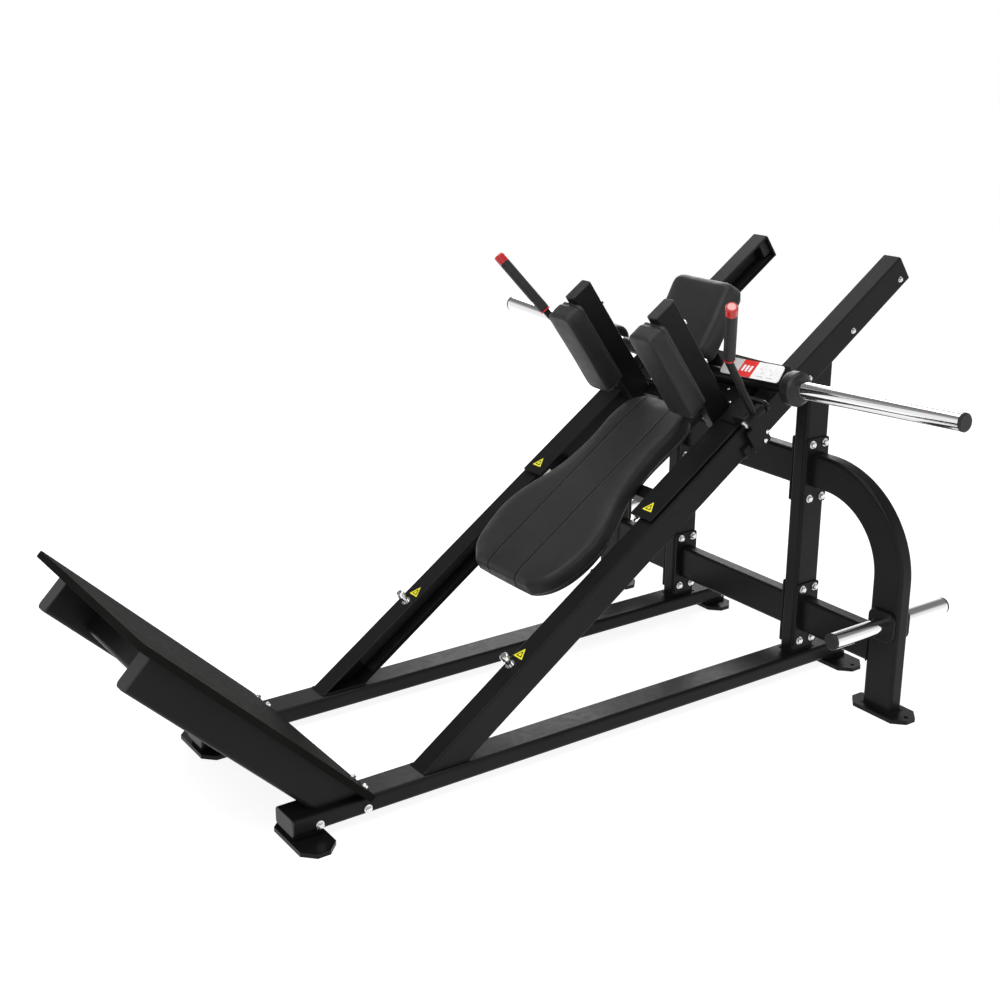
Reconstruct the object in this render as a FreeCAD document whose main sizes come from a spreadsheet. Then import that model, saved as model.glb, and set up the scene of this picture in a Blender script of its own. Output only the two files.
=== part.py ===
import FreeCAD, Part
import math
import os
import Sketcher
from FreeCAD import Vector, Rotation, Placement

# Plate-loaded hack squat machine: a carriage with back, head and shoulder pads rolls on two
# inclined guide rails above a tilted footplate. +X runs to the rear, +Z up. The user's left
# side is -Y. The origin is on the floor, under the middle of the machine's bounding box.

doc = FreeCAD.newDocument("hack_squat_machine")
sheet = doc.addObject("Spreadsheet::Sheet", "dims")

DRIVING_DIMENSIONS = {
    # base frame
    "rail_centre_y": 274, "base_width": 96, "base_height": 48, "base_bottom_z": 26,
    "base_front_x": -861, "base_rear_x": 1067, "tube_wall": 3, "tube_corner": 11,
    "foot_length": 204, "foot_width": 100, "foot_thickness": 12, "foot_chamfer": 32,
    "foot_hole_radius": 7, "front_foot_x": -822, "rear_foot_x": 1060, "foot_centre_y": 293,
    "foot_hole_margin": 18, "foot_block_length": 80, "foot_block_width": 67,
    "end_cap_thickness": 7,
    # inclined guide rails (C sections, open towards the middle)
    "rail_angle": 35.25, "rail_foot_x": -484, "rail_width": 66, "rail_height": 84,
    "rail_length": 2069, "rail_wall": 5, "rail_corner": 6, "track_thickness": 4,
    "track_upstand": 34, "track_start": 160, "end_plate_thickness": 5, "bump_stop_length": 30,
    "bump_stop_depth": 58,
    # uprights, cross tubes and outriggers
    "upright_x": 867, "upright_width": 52, "upright_depth": 94, "cross_depth": 50,
    "cross_height": 108, "lower_cross_z": 196, "upper_cross_z": 657, "flange_length": 202,
    "flange_width": 88, "flange_thickness": 6, "arch_centre_y": 359, "arch_centre_z": 402,
    "arch_outer_radius": 311, "arch_width": 104, "leg_foot_y": 625,
    # plate storage horns on the outrigger legs
    "horn_radius": 24, "horn_length": 196, "horn_z": 275, "horn_flange_size": 92,
    "horn_flange_corner": 24, "horn_flange_thickness": 12, "horn_cap_length": 8,
    # footplate
    "footplate_x": -646, "footplate_z": 84, "footplate_angle": 44.25, "footplate_length": 806,
    "footplate_width": 706, "footplate_thickness": 8, "footplate_lip_depth": 19,
    "footplate_lip_thickness": 6, "footplate_corner": 12, "support_width": 52,
    "support_height": 110, "support_length": 735.5, "footplate_tie_along": 592,
    # carriage (positions are measured up the guide rails from their foot)
    "side_start": 930, "side_end": 1556, "lip_end": 1411, "side_wall": 8, "side_y": 224,
    "side_height": 80, "lip_overhang": 15, "lip_outer_y": 297, "lip_width": 84,
    "lip_thickness": 6, "lip_gap": 6, "low_roller_along": 985, "high_roller_along": 1330,
    "roller_radius": 34.5, "roller_width": 40, "roller_centre_y": 276, "bearing_radius": 23.5,
    "bearing_width": 14, "axle_radius": 10, "axle_head_radius": 15, "axle_head_length": 11.8,
    "retainer_radius": 14, "retainer_thickness": 1.4, "beam_size": 40,
    "low_beam_along": 1030, "high_beam_along": 1378, "pad_bar_y": 80, "pad_bar_start": 635,
    # pads
    "back_pad_start": 575, "back_pad_end": 1321, "back_pad_widest": 221,
    "back_pad_waist": 142, "back_pad_top": 44, "back_pad_thickness": 54,
    "board_thickness": 12, "shoulder_pad_along": 1236, "shoulder_pad_thickness": 58,
    "shoulder_pad_width": 110, "shoulder_pad_length": 309, "shoulder_pad_low": 88,
    "shoulder_y": 184, "arm_depth": 80, "arm_width": 40, "arm_top": 405,
    "head_pad_length": 248, "head_pad_width": 254, "head_pad_thickness": 64,
    "head_pad_tilt": 25, "head_pad_along": 1633, "head_pad_top": 253,
    # plate loading sleeves
    "sleeve_radius": 25, "sleeve_end_y": 960, "sleeve_start_y": 424, "sleeve_tilt": 3.1,
    "sleeve_along": 1465.5, "sleeve_lift": 19.6, "stub_radius": 21, "collar_radius": 50,
    "collar_length": 46, "sleeve_beam_depth": 110, "sleeve_beam_height": 44,
    # safety levers
    "lever_y": 330, "lever_lift": 24, "lever_along": 1362, "lever_hub_radius": 17,
    "lever_hub_length": 58, "lever_pin_radius": 8, "lever_rod_radius": 11, "grip_radius": 16.5,
    "elbow_along": 1326, "elbow_y": 400, "elbow_lift": 280, "grip_tip_along": 1337,
    "grip_tip_y": 517, "grip_tip_lift": 495, "stop_plate_bottom": -88, "stop_plate_top": -10,
    "stop_plate_length": 65, "stop_plate_thickness": 8, "lug_thickness": 10,
    "lug_radius": 20, "bracket_thickness": 6, "bracket_width": 74, "grip_start": 22,
    "grip_ring_length": 5, "grip_collar_length": 29,
    # information placard on the left sleeve's stub
    "placard_length": 62, "placard_width": 258, "placard_thickness": 6, "placard_end": 374,
    "placard_tilt": 19, "placard_shift": 21.5, "placard_border": 4, "sheet_width": 234,
    "sheet_end": 354,
    # plate across the carriage that carries the head pad's post
    "cross_plate_along": 1526, "cross_plate_length": 73, "cross_plate_width": 524,
    "cross_plate_thickness": 6, "head_post_along": 1524, "deck_plate_thickness": 6,
    # lower stop posts and parking lugs
    "post_along": 374, "post_y": 266, "post_height": 44, "post_head_radius": 12,
    "post_neck_radius": 8, "post_base_radius": 14, "lug_along": 1284, "lug_length": 26,
    "lug_depth": 11, "lug_height": 34, "lug_top": -50,
}
for row, (alias, value) in enumerate(DRIVING_DIMENSIONS.items(), start=1):
    sheet.set(f"A{row}", alias)
    sheet.set(f"B{row}", str(value))
    sheet.setAlias(f"B{row}", alias)
doc.recompute()

sub_parts = []


def dim(alias):
    return float(sheet.get(alias))


def keep(obj, label, placement=None):
    """Give a finished sub-part its name and place, and list it for export."""
    obj.Label = label
    if placement is not None:
        obj.Placement = placement
    sub_parts.append(obj)
    return obj


def bind(obj, **expressions):
    for name, expression in expressions.items():
        obj.setExpression(name, expression)


# ---------------------------------------------------------------- places and directions

UPRIGHT = Vector(0, 0, 1)
ACROSS = Vector(0, 1, 0)
BASE_TOP = dim("base_bottom_z") + dim("base_height")
RAIL_TURN = Rotation(ACROSS, -dim("rail_angle"))
UP_RAIL = RAIL_TURN.multVec(Vector(1, 0, 0))
RAIL_NORMAL = RAIL_TURN.multVec(UPRIGHT)
RAIL_FOOT = Vector(dim("rail_foot_x"), 0, BASE_TOP)


def at(x, y, z, turn=Rotation()):
    return Placement(Vector(x, y, z), turn)


def on_rail(along, y, lift, turn=Rotation()):
    """A place measured up the rails, across, and square to the rails' top faces."""
    point = RAIL_FOOT + UP_RAIL * along + Vector(0, y, 0) + RAIL_NORMAL * lift
    return Placement(point, RAIL_TURN.multiply(turn))


# ---------------------------------------------------------------- building blocks

def plain(kind, name, placement, **expressions):
    """A Part primitive bound to the sheet, such as Box or Cylinder."""
    obj = doc.addObject("Part::" + kind, name)
    bind(obj, **expressions)
    obj.Placement = placement
    return obj


def block(name, placement, length, width, height):
    """A plain box of given sizes, used for small lugs and for cutting."""
    box = doc.addObject("Part::Box", name)
    box.Length = length
    box.Width = width
    box.Height = height
    box.Placement = placement
    return box


def group(name, tools):
    """Separate solids of one kind, kept together as one object."""
    obj = doc.addObject("Part::Compound", name)
    obj.Links = tools
    return obj


def fuse(name, tools):
    obj = doc.addObject("Part::MultiFuse", name)
    obj.Shapes = tools
    return obj


def cut(name, base, tool):
    obj = doc.addObject("Part::Cut", name)
    obj.Base = base
    obj.Tool = tool
    return obj


def mirrored(name, source):
    """The other side's copy, mirrored in the machine's middle plane."""
    obj = doc.addObject("Part::Mirroring", name)
    obj.Source = source
    obj.Base = Vector(0, 0, 0)
    obj.Normal = ACROSS
    return obj


def both_sides(left, label, placement=None):
    """Keep a left-hand piece and its mirrored right-hand twin as two sub-parts."""
    keep(left, label + "_left", placement)
    keep(mirrored(label + "_twin", left), label + "_right")


def pair(left, label, placement=None):
    """Keep a left-hand piece and its mirrored twin together as one sub-part."""
    if placement is not None:
        left.Placement = placement
    keep(group(label + "_pair", [left, mirrored(label + "_twin", left)]), label)


def new_body(name):
    return doc.addObject("PartDesign::Body", name)


def new_sketch(body, role, name="outline"):
    plane = next(f for f in body.Origin.OriginFeatures if f.Role == role)
    sketch = body.newObject("Sketcher::SketchObject", name)
    sketch.AttachmentSupport = [(plane, "")]
    sketch.MapMode = "FlatFace"
    return sketch


def add_rounded_rectangle(sketch, name, wide, tall, corner):
    """A rounded rectangle centred on the sketch's origin, driven by three expressions."""
    width, height, radius = (float(sketch.evalExpression(e)) for e in (wide, tall, corner))
    x, y = width / 2 - radius, height / 2 - radius
    outer_x, outer_y = width / 2, height / 2
    lines = [((-x, -outer_y), (x, -outer_y)), ((outer_x, -y), (outer_x, y)),
             ((x, outer_y), (-x, outer_y)), ((-outer_x, y), (-outer_x, -y))]
    centres = [(x, -y), (x, y), (-x, y), (-x, -y)]
    first = sketch.GeometryCount
    for k in range(4):
        start, end = (Vector(*point, 0) for point in lines[k])
        sketch.addGeometry(Part.LineSegment(start, end), False)
        circle = Part.Circle(Vector(*centres[k], 0), UPRIGHT, radius)
        quarter = math.pi / 2
        sketch.addGeometry(Part.ArcOfCircle(circle, quarter * (k - 1), quarter * k), False)
    rule = Sketcher.Constraint
    for k in range(8):
        sketch.addConstraint(rule("Tangent", first + k, 2, first + (k + 1) % 8, 1))
    for k in (0, 4):
        sketch.addConstraint(rule("Horizontal", first + k))
        sketch.addConstraint(rule("Vertical", first + k + 2))
    for k in (3, 5, 7):
        sketch.addConstraint(rule("Equal", first + 1, first + k))
    sketch.addConstraint(rule("Symmetric", first + 1, 3, first + 5, 3, -1, 1))
    measured = [("Radius", (first + 1, radius), corner),
                ("DistanceX", (first + 6, 1, first + 2, 1, width), wide),
                ("DistanceY", (first, 1, first + 4, 1, height), tall)]
    for kind, arguments, expression in measured:
        index = sketch.addConstraint(rule(kind, *arguments))
        sketch.renameConstraint(index, name + kind)
        sketch.setExpression("Constraints." + name + kind, expression)


def section(name, wide, tall, length, corner="dims.tube_corner", wall=None):
    """A bar along +X with rounded long edges: a tube when `wall` is given, else solid."""
    body = new_body(name)
    sketch = new_sketch(body, "YZ_Plane")
    add_rounded_rectangle(sketch, "outer", wide, tall, corner)
    if wall:
        add_rounded_rectangle(sketch, "inner", f"{wide} - 2 * {wall}", f"{tall} - 2 * {wall}",
                              f"{corner} - {wall} / 2")
    pad = body.newObject("PartDesign::Pad", name + "_pad")
    pad.Profile = sketch
    pad.setExpression("Length", length)
    return body


def panel(name, long, wide, thickness, corner, edge=None):
    """A flat piece on XY, its thickness along +Z, with rounded corners and softened edges."""
    body = new_body(name)
    sketch = new_sketch(body, "XY_Plane")
    add_rounded_rectangle(sketch, "outline", long, wide, corner)
    pad = body.newObject("PartDesign::Pad", name + "_pad")
    pad.Profile = sketch
    pad.setExpression("Length", thickness)
    if edge:
        doc.recompute()
        flat = [f"Edge{k}" for k, e in enumerate(pad.Shape.Edges, start=1)
                if e.BoundBox.ZLength < 0.01]
        soft = body.newObject("PartDesign::Fillet", name + "_edges")
        soft.Base = (pad, flat)
        soft.Radius = edge
    return body


def turned(name, outline):
    """A turned piece: straight runs (radius, height) in XZ, revolved about +Z."""
    body = new_body(name)
    sketch = new_sketch(body, "XZ_Plane")
    points = [Vector(radius, height, 0) for radius, height in outline]
    for k, point in enumerate(points):
        sketch.addGeometry(Part.LineSegment(point, points[(k + 1) % len(points)]), False)
    for k in range(len(points)):
        sketch.addConstraint(Sketcher.Constraint("Coincident", k, 2, (k + 1) % len(points), 1))
    turn = body.newObject("PartDesign::Revolution", name + "_turn")
    turn.Profile = sketch
    turn.ReferenceAxis = (sketch, ["V_Axis"])
    turn.Angle = 360
    return body


def copies(name, source, places):
    """The same piece in several places, as one group of separate solids."""
    links = []
    for place in places:
        link = doc.addObject("App::Link", name + "_copy")
        link.LinkedObject = source
        link.Placement = place
        links.append(link)
    return group(name, links)


def hex_bolt(name, thread_radius, shank):
    """A hexagon bolt on its washer: the head rises along +Z and the shank goes down."""
    head_radius, head_height = 1.9 * thread_radius, 1.3 * thread_radius
    washer_thickness = 0.4 * thread_radius
    washer = doc.addObject("Part::Cylinder", name + "_washer")
    washer.Radius = 2.4 * thread_radius
    washer.Height = washer_thickness
    head = doc.addObject("Part::Prism", name + "_head")
    head.Polygon = 6
    head.Circumradius = head_radius
    head.Height = head_height
    head.Placement = at(0, 0, washer_thickness)
    dome = doc.addObject("Part::Cone", name + "_dome")
    dome.Radius1 = head_radius * 0.84
    dome.Radius2 = head_radius * 0.6
    dome.Height = head_height * 0.3
    dome.Placement = at(0, 0, washer_thickness + head_height)
    stem = doc.addObject("Part::Cylinder", name + "_shank")
    stem.Radius = thread_radius
    stem.Height = shank
    stem.Placement = at(0, 0, -shank)
    return fuse(name, [washer, head, dome, stem])


TOWARDS_LEFT = Rotation(Vector(1, 0, 0), 90)      # +Z to -Y
TOWARDS_RIGHT = Rotation(Vector(1, 0, 0), -90)    # +Z to +Y
TOWARDS_FRONT = Rotation(ACROSS, -90)             # +Z to -X
TOWARDS_REAR = Rotation(ACROSS, 90)               # +Z to +X
ALONG_Y = Rotation(UPRIGHT, 90)                   # +X to +Y
STANDING = Rotation(ACROSS, -90)                  # +X to +Z
RAIL_Y = dim("rail_centre_y")

# ---------------------------------------------------------------- base frame

base_rail = section("base_rail", "dims.base_width", "dims.base_height",
                    "dims.base_rear_x - dims.base_front_x", wall="dims.tube_wall")
both_sides(base_rail, "base_rail",
           at(dim("base_front_x"), -RAIL_Y, dim("base_bottom_z") + dim("base_height") / 2))

end_cap = panel("base_end_cap", "dims.base_height", "dims.base_width",
                "dims.end_cap_thickness", "dims.tube_corner", edge=2.5)
cap_z = dim("base_bottom_z") + dim("base_height") / 2
cap_places = []
for side in (-1, 1):
    cap_places.append(at(dim("base_front_x"), side * RAIL_Y, cap_z, TOWARDS_FRONT))
    cap_places.append(at(dim("base_rear_x"), side * RAIL_Y, cap_z, TOWARDS_REAR))


def foot_plate(name, block_height, with_hole):
    """A floor plate with cut corners, a spacer block on top and an anchor hole."""
    plate = plain("Box", name + "_plate", at(0, 0, 0), Length="dims.foot_width",
                  Width="dims.foot_length", Height="dims.foot_thickness")
    plate.Placement = at(-dim("foot_width") / 2, -dim("foot_length") / 2, 0)
    doc.recompute()
    cut_corners = doc.addObject("Part::Chamfer", name + "_corners")
    cut_corners.Base = plate
    size = dim("foot_chamfer")
    cut_corners.Edges = [(k, size, size) for k, edge in enumerate(plate.Shape.Edges, start=1)
                         if edge.BoundBox.ZLength > dim("foot_thickness") / 2]
    piece = cut_corners
    if block_height:
        length, width = dim("foot_block_length"), dim("foot_block_width")
        corner = at(-length / 2, dim("foot_centre_y") - RAIL_Y - width / 2,
                    dim("foot_thickness"))
        spacer = block(name + "_block", corner, length, width, block_height)
        piece = fuse(name + "_with_block", [cut_corners, spacer])
    if with_hole:
        hole_y = dim("foot_hole_margin") - dim("foot_length") / 2
        hole = plain("Cylinder", name + "_hole", at(0, hole_y, -1),
                     Radius="dims.foot_hole_radius", Height="dims.foot_thickness + 2")
        piece = cut(name + "_drilled", piece, hole)
    return piece


block_height = dim("base_bottom_z") - dim("foot_thickness")
front_foot = foot_plate("front_foot", block_height, False)
front_foot.Placement = at(dim("front_foot_x"), -dim("foot_centre_y"), 0)
rear_foot = foot_plate("rear_foot", block_height, True)
rear_foot.Placement = at(dim("rear_foot_x"), -dim("foot_centre_y"), 0)

# ---------------------------------------------------------------- guide rails

rail_stock = section("rail_stock", "dims.rail_width", "dims.rail_height", "dims.rail_length",
                     corner="dims.rail_corner")
rail_stock.Placement = on_rail(0, -RAIL_Y, -dim("rail_height") / 2)
rail_bore = plain("Box", "rail_bore",
                  on_rail(-1, dim("rail_wall") - RAIL_Y - dim("rail_width") / 2,
                          dim("rail_wall") - dim("rail_height")),
                  Length="dims.rail_length + 2", Width="dims.rail_width",
                  Height="dims.rail_height - 2 * dims.rail_wall")
floor_cut = block("rail_floor_cut", at(dim("rail_foot_x") - 200, -RAIL_Y - 100, BASE_TOP - 200),
                  400, 200, 200)
guide_rail = cut("guide_rail", cut("rail_channel", rail_stock, rail_bore), floor_cut)
both_sides(guide_rail, "guide_rail")

rail_end = panel("rail_end", "dims.rail_height", "dims.rail_width", "dims.end_plate_thickness",
                 "dims.rail_corner")
pair(rail_end, "rail_end_plates",
     on_rail(dim("rail_length"), -RAIL_Y, -dim("rail_height") / 2, TOWARDS_REAR))

# the hardened angle that the rollers run on, inside each rail
web_inside = dim("rail_wall") - RAIL_Y - dim("rail_width") / 2
floor_inside = dim("rail_wall") - dim("rail_height")
track_corner = on_rail(dim("track_start"), web_inside, floor_inside)
TRACK_RUN = "dims.rail_length - dims.track_start - dims.end_plate_thickness"
track_flat = plain("Box", "track_flat", track_corner, Length=TRACK_RUN,
                   Width="dims.roller_width + dims.bracket_thickness",
                   Height="dims.track_thickness")
track_upstand = plain("Box", "track_upstand", track_corner, Length=TRACK_RUN,
                      Width="dims.track_thickness", Height="dims.track_upstand")
pair(fuse("guide_track", [track_flat, track_upstand]), "guide_tracks")

bump_stop = panel("bump_stop", "dims.bump_stop_depth", "dims.roller_width",
                  "dims.bump_stop_length", "dims.rail_corner", edge=3)
STOP_ALONG = dim("rail_length") - dim("bump_stop_length")
stop_places = [on_rail(STOP_ALONG, side * (RAIL_Y + 2), -dim("rail_height") / 2 + 2, TOWARDS_REAR)
               for side in (-1, 1)]
keep(copies("top_bump_stops", bump_stop, stop_places), "top_bump_stops")

rail_bolt = hex_bolt("rail_bolt", 3.6, 5)
RAIL_OUTSIDE = RAIL_Y + dim("rail_width") / 2
rail_bolt_places = []
for along in (1597, 1807, 2040):
    for side, turn in ((-1, TOWARDS_LEFT), (1, TOWARDS_RIGHT)):
        rail_bolt_places.append(on_rail(along, side * RAIL_OUTSIDE, -58, turn))
rail_bolts = copies("rail_bolts", rail_bolt, rail_bolt_places)

post_top, post_head = dim("post_height"), dim("post_head_radius")
post_neck, post_base = dim("post_neck_radius"), dim("post_base_radius")
post = turned("stop_post", [(0, 0), (post_base, 0), (post_base, 5), (post_neck, 5),
                            (post_neck, post_top - 15), (post_head, post_top - 15),
                            (post_head, post_top - 3), (post_head - 3, post_top),
                            (0, post_top)])
post_places = [on_rail(dim("post_along"), side * dim("post_y"), 0) for side in (-1, 1)]
keep(copies("lower_stop_posts", post, post_places), "lower_stop_posts")

# ---------------------------------------------------------------- uprights and cross tubes

UPRIGHT_MIDDLE = dim("upright_x") + dim("upright_depth") / 2
upright_stock = section("upright_stock", "dims.upright_width", "dims.upright_depth",
                        "dims.upright_x + 95", wall="dims.tube_wall")
upright_stock.Placement = at(UPRIGHT_MIDDLE, -RAIL_Y, BASE_TOP, STANDING)
above_rails = block("above_rails", on_rail(1300, -RAIL_Y - 100, -dim("rail_height")),
                    900, 200, 400)
both_sides(cut("upright", upright_stock, above_rails), "upright")

INNER_Y = RAIL_Y - dim("upright_width") / 2
OUTER_Y = RAIL_Y + dim("upright_width") / 2
flange_gap = dim("flange_thickness")
cross_tubes = []
for level in ("lower", "upper"):
    cross = section(level + "_cross", "dims.cross_depth", "dims.cross_height",
                    "2 * dims.rail_centre_y - dims.upright_width - 2 * dims.flange_thickness",
                    wall="dims.tube_wall")
    cross.Placement = at(UPRIGHT_MIDDLE, flange_gap - INNER_Y, dim(level + "_cross_z"), ALONG_Y)
    cross_tubes.append(cross)
keep(group("both_cross_tubes", cross_tubes), "cross_tubes")

flange = panel("flange", "dims.flange_width", "dims.flange_length", "dims.flange_thickness",
               "dims.rail_corner")
inner_places, outer_places = [], []
for level in ("lower", "upper"):
    z = dim(level + "_cross_z")
    inner_places.append(at(UPRIGHT_MIDDLE, -INNER_Y, z, TOWARDS_RIGHT))
    inner_places.append(at(UPRIGHT_MIDDLE, INNER_Y, z, TOWARDS_LEFT))
    outer_places.append(at(UPRIGHT_MIDDLE, -OUTER_Y, z, TOWARDS_LEFT))
    outer_places.append(at(UPRIGHT_MIDDLE, OUTER_Y, z, TOWARDS_RIGHT))
bolted_flanges = copies("bolted_flanges", flange, inner_places + outer_places)

frame_bolt = hex_bolt("frame_bolt", 5, 20)
inner_bolts, outer_bolts = [], []
for level in ("lower", "upper"):
    for across in (-26, 26):
        for step in (-84, 84):
            spot = (UPRIGHT_MIDDLE + across, dim(level + "_cross_z") + step)
            for side, inward, outward in ((-1, TOWARDS_RIGHT, TOWARDS_LEFT),
                                          (1, TOWARDS_LEFT, TOWARDS_RIGHT)):
                inner = side * (INNER_Y - flange_gap)
                outer = side * (OUTER_Y + flange_gap)
                inner_bolts.append(at(spot[0], inner, spot[1], inward))
                outer_bolts.append(at(spot[0], outer, spot[1], outward))
flange_bolts = copies("flange_bolts", frame_bolt, inner_bolts + outer_bolts)
keep(group("all_frame_bolts", [rail_bolts, flange_bolts]), "frame_bolts")

# ---------------------------------------------------------------- outriggers

ARCH_MIDDLE_RADIUS = dim("arch_outer_radius") - dim("arch_width") / 2
LEG_Y = dim("arch_centre_y") + ARCH_MIDDLE_RADIUS
ARCH_TOP = dim("arch_centre_z") + ARCH_MIDDLE_RADIUS


def arch_path():
    """The bent tube's centreline: level from the upright, a quarter turn, then down."""
    start = Vector(UPRIGHT_MIDDLE, -OUTER_Y - flange_gap, ARCH_TOP)
    bend_start = Vector(UPRIGHT_MIDDLE, -dim("arch_centre_y"), ARCH_TOP)
    bend_end = Vector(UPRIGHT_MIDDLE, -LEG_Y, dim("arch_centre_z"))
    reach = ARCH_MIDDLE_RADIUS * math.sqrt(0.5)
    bend_middle = Vector(UPRIGHT_MIDDLE, -dim("arch_centre_y") - reach,
                         dim("arch_centre_z") + reach)
    floor = Vector(UPRIGHT_MIDDLE, -LEG_Y, dim("foot_thickness"))
    arc = Part.Arc(bend_start, bend_middle, bend_end).toShape()
    level = Part.LineSegment(start, bend_start).toShape()
    down = Part.LineSegment(bend_end, floor).toShape()
    return Part.Wire([level, arc, down])


def rounded_loop(wide, tall, radius, centre, turn):
    """A closed rounded rectangle as a wire, for sweeping."""
    flat = Part.makePlane(wide, tall, Vector(-wide / 2, -tall / 2, 0))
    solid = flat.extrude(UPRIGHT)
    rounded = solid.makeFillet(radius, [e for e in solid.Edges if e.BoundBox.ZLength > 0.5])
    loop = min(rounded.Faces, key=lambda f: f.BoundBox.ZMax).OuterWire
    loop.Placement = Placement(centre, turn)
    return loop


outrigger = doc.addObject("Part::Feature", "outrigger")
arch_start = Vector(UPRIGHT_MIDDLE, -OUTER_Y - flange_gap, ARCH_TOP)
swept = []
for shrink in (0, dim("tube_wall")):
    loop = rounded_loop(dim("cross_depth") - 2 * shrink, dim("arch_width") - 2 * shrink,
                        dim("tube_corner") - shrink / 2, arch_start, TOWARDS_LEFT)
    swept.append(arch_path().makePipeShell([loop], True, True))
stub_start = Vector(UPRIGHT_MIDDLE, -OUTER_Y - flange_gap, dim("lower_cross_z"))
stub_length = LEG_Y - dim("arch_width") / 2 + 2 - OUTER_Y - flange_gap
stub_loop = rounded_loop(dim("cross_depth") - 1, dim("cross_height"), dim("tube_corner"),
                         stub_start, TOWARDS_LEFT)
stub = Part.Face(stub_loop).extrude(Vector(0, -stub_length, 0))
outrigger.Shape = swept[0].cut(swept[1]).fuse(stub)
both_sides(outrigger, "outrigger")

leg_foot = foot_plate("leg_foot", 0, True)
leg_foot.Placement = at(UPRIGHT_MIDDLE, -dim("leg_foot_y"), 0)
pair(group("left_feet", [front_foot, rear_foot, leg_foot]), "feet")

horn = plain("Cylinder", "horn", at(0, 0, 0), Radius="dims.horn_radius",
             Height="dims.horn_length")
horn_flange = panel("horn_flange", "dims.horn_flange_size", "dims.horn_flange_size",
                    "dims.horn_flange_thickness", "dims.horn_flange_corner", edge=3)
horn_rim, horn_cap_top = dim("horn_radius"), dim("horn_cap_length")
horn_cap = turned("horn_cap", [(0, 0), (horn_rim, 0), (horn_rim, horn_cap_top - 2),
                               (horn_rim - 2, horn_cap_top), (0, horn_cap_top)])
LEG_FACE = dim("cross_depth") / 2
horn_places, flange_places, horn_cap_places = [], [], []
for side in (-1, 1):
    for turn, way in ((TOWARDS_FRONT, -1), (TOWARDS_REAR, 1)):
        face = UPRIGHT_MIDDLE + way * LEG_FACE
        root = face + way * dim("horn_flange_thickness")
        tip = root + way * dim("horn_length")
        flange_places.append(at(face, side * LEG_Y, dim("horn_z"), turn))
        horn_places.append(at(root, side * LEG_Y, dim("horn_z"), turn))
        horn_cap_places.append(at(tip, side * LEG_Y, dim("horn_z"), turn))
keep(copies("storage_horns", horn, horn_places), "storage_horns")
horn_flanges = copies("horn_flanges", horn_flange, flange_places)
keep(group("all_flanges", [bolted_flanges, horn_flanges]), "flange_plates")
horn_caps = copies("horn_caps", horn_cap, horn_cap_places)

# ---------------------------------------------------------------- footplate

PLATE_TURN = Rotation(ACROSS, 180 + dim("footplate_angle"))
PLATE_UP = PLATE_TURN.multVec(Vector(1, 0, 0))
PLATE_BACK = PLATE_TURN.multVec(UPRIGHT)
PLATE_FOOT = Vector(dim("footplate_x"), 0, dim("footplate_z"))


def on_plate(up, y, back, turn=Rotation()):
    """A place measured up the footplate's working face and behind it."""
    point = PLATE_FOOT + PLATE_UP * up + Vector(0, y, 0) + PLATE_BACK * back
    return Placement(point, PLATE_TURN.multiply(turn))


plate_stock = panel("footplate_panel", "dims.footplate_length", "dims.footplate_width",
                    "dims.footplate_lip_depth", "dims.footplate_corner", edge=2)
plate_stock.Placement = on_plate(dim("footplate_length") / 2, 0, 0)
tray = plain("Box", "footplate_tray",
             on_plate(-1, dim("footplate_lip_thickness") - dim("footplate_width") / 2,
                      dim("footplate_thickness")),
             Length="dims.footplate_length + 1 - dims.footplate_lip_thickness",
             Width="dims.footplate_width - 2 * dims.footplate_lip_thickness",
             Height="dims.footplate_lip_depth")
keep(cut("footplate_sheet", plate_stock, tray), "footplate")

support_stock = section("support_stock", "dims.support_width", "dims.support_height",
                        "dims.support_length + 60", corner="dims.tube_corner + 3",
                        wall="dims.tube_wall")
behind = dim("footplate_thickness")
support_stock.Placement = on_plate(-60, -RAIL_Y, behind + dim("support_height") / 2)
below_rails = block("below_rails", at(dim("footplate_x") - 350, -RAIL_Y - 100, BASE_TOP - 200),
                    500, 200, 200)
both_sides(cut("footplate_support", support_stock, below_rails), "footplate_support")

support_cap = panel("support_cap", "dims.support_height", "dims.support_width", "5",
                    "dims.tube_corner + 3", edge=1.5)
support_cap_places = [on_plate(dim("support_length"), side * RAIL_Y,
                               behind + dim("support_height") / 2, TOWARDS_REAR)
                      for side in (-1, 1)]
base_caps = copies("base_caps", end_cap, cap_places)
support_caps = copies("support_caps", support_cap, support_cap_places)
keep(group("all_end_caps", [base_caps, support_caps, horn_caps]), "frame_end_caps")

tie = section("footplate_tie", "dims.cross_depth", "dims.base_width - 8",
              "2 * dims.rail_centre_y - dims.support_width", wall="dims.tube_wall")
keep(tie, "footplate_tie_tube",
     on_plate(dim("footplate_tie_along"), dim("support_width") / 2 - RAIL_Y,
              behind + 1 + (dim("base_width") - 8) / 2, ALONG_Y))

plate_bolt = hex_bolt("plate_bolt", 4, 7)
PLATE_BOLT_UP = 14
plate_bolt_places = []
for side in (-1, 1):
    for offset in (-30, 30):
        plate_bolt_places.append(on_plate(PLATE_BOLT_UP, side * RAIL_Y + offset, 0,
                                          Rotation(Vector(1, 0, 0), 180)))
plate_bolts = copies("plate_bolts", plate_bolt, plate_bolt_places)

side_bolt = hex_bolt("side_bolt", 4.8, 20)
BASE_OUTSIDE = RAIL_Y + dim("base_width") / 2
side_bolt_places = []
for x in (-794, -657):
    for side, turn in ((-1, TOWARDS_LEFT), (1, TOWARDS_RIGHT)):
        side_bolt_places.append(at(x, side * BASE_OUTSIDE, cap_z - 8, turn))
side_bolts = copies("side_bolts", side_bolt, side_bolt_places)
keep(group("footplate_bolts", [plate_bolts, side_bolts]), "footplate_bolts")

# ---------------------------------------------------------------- carriage sides and rollers

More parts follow.
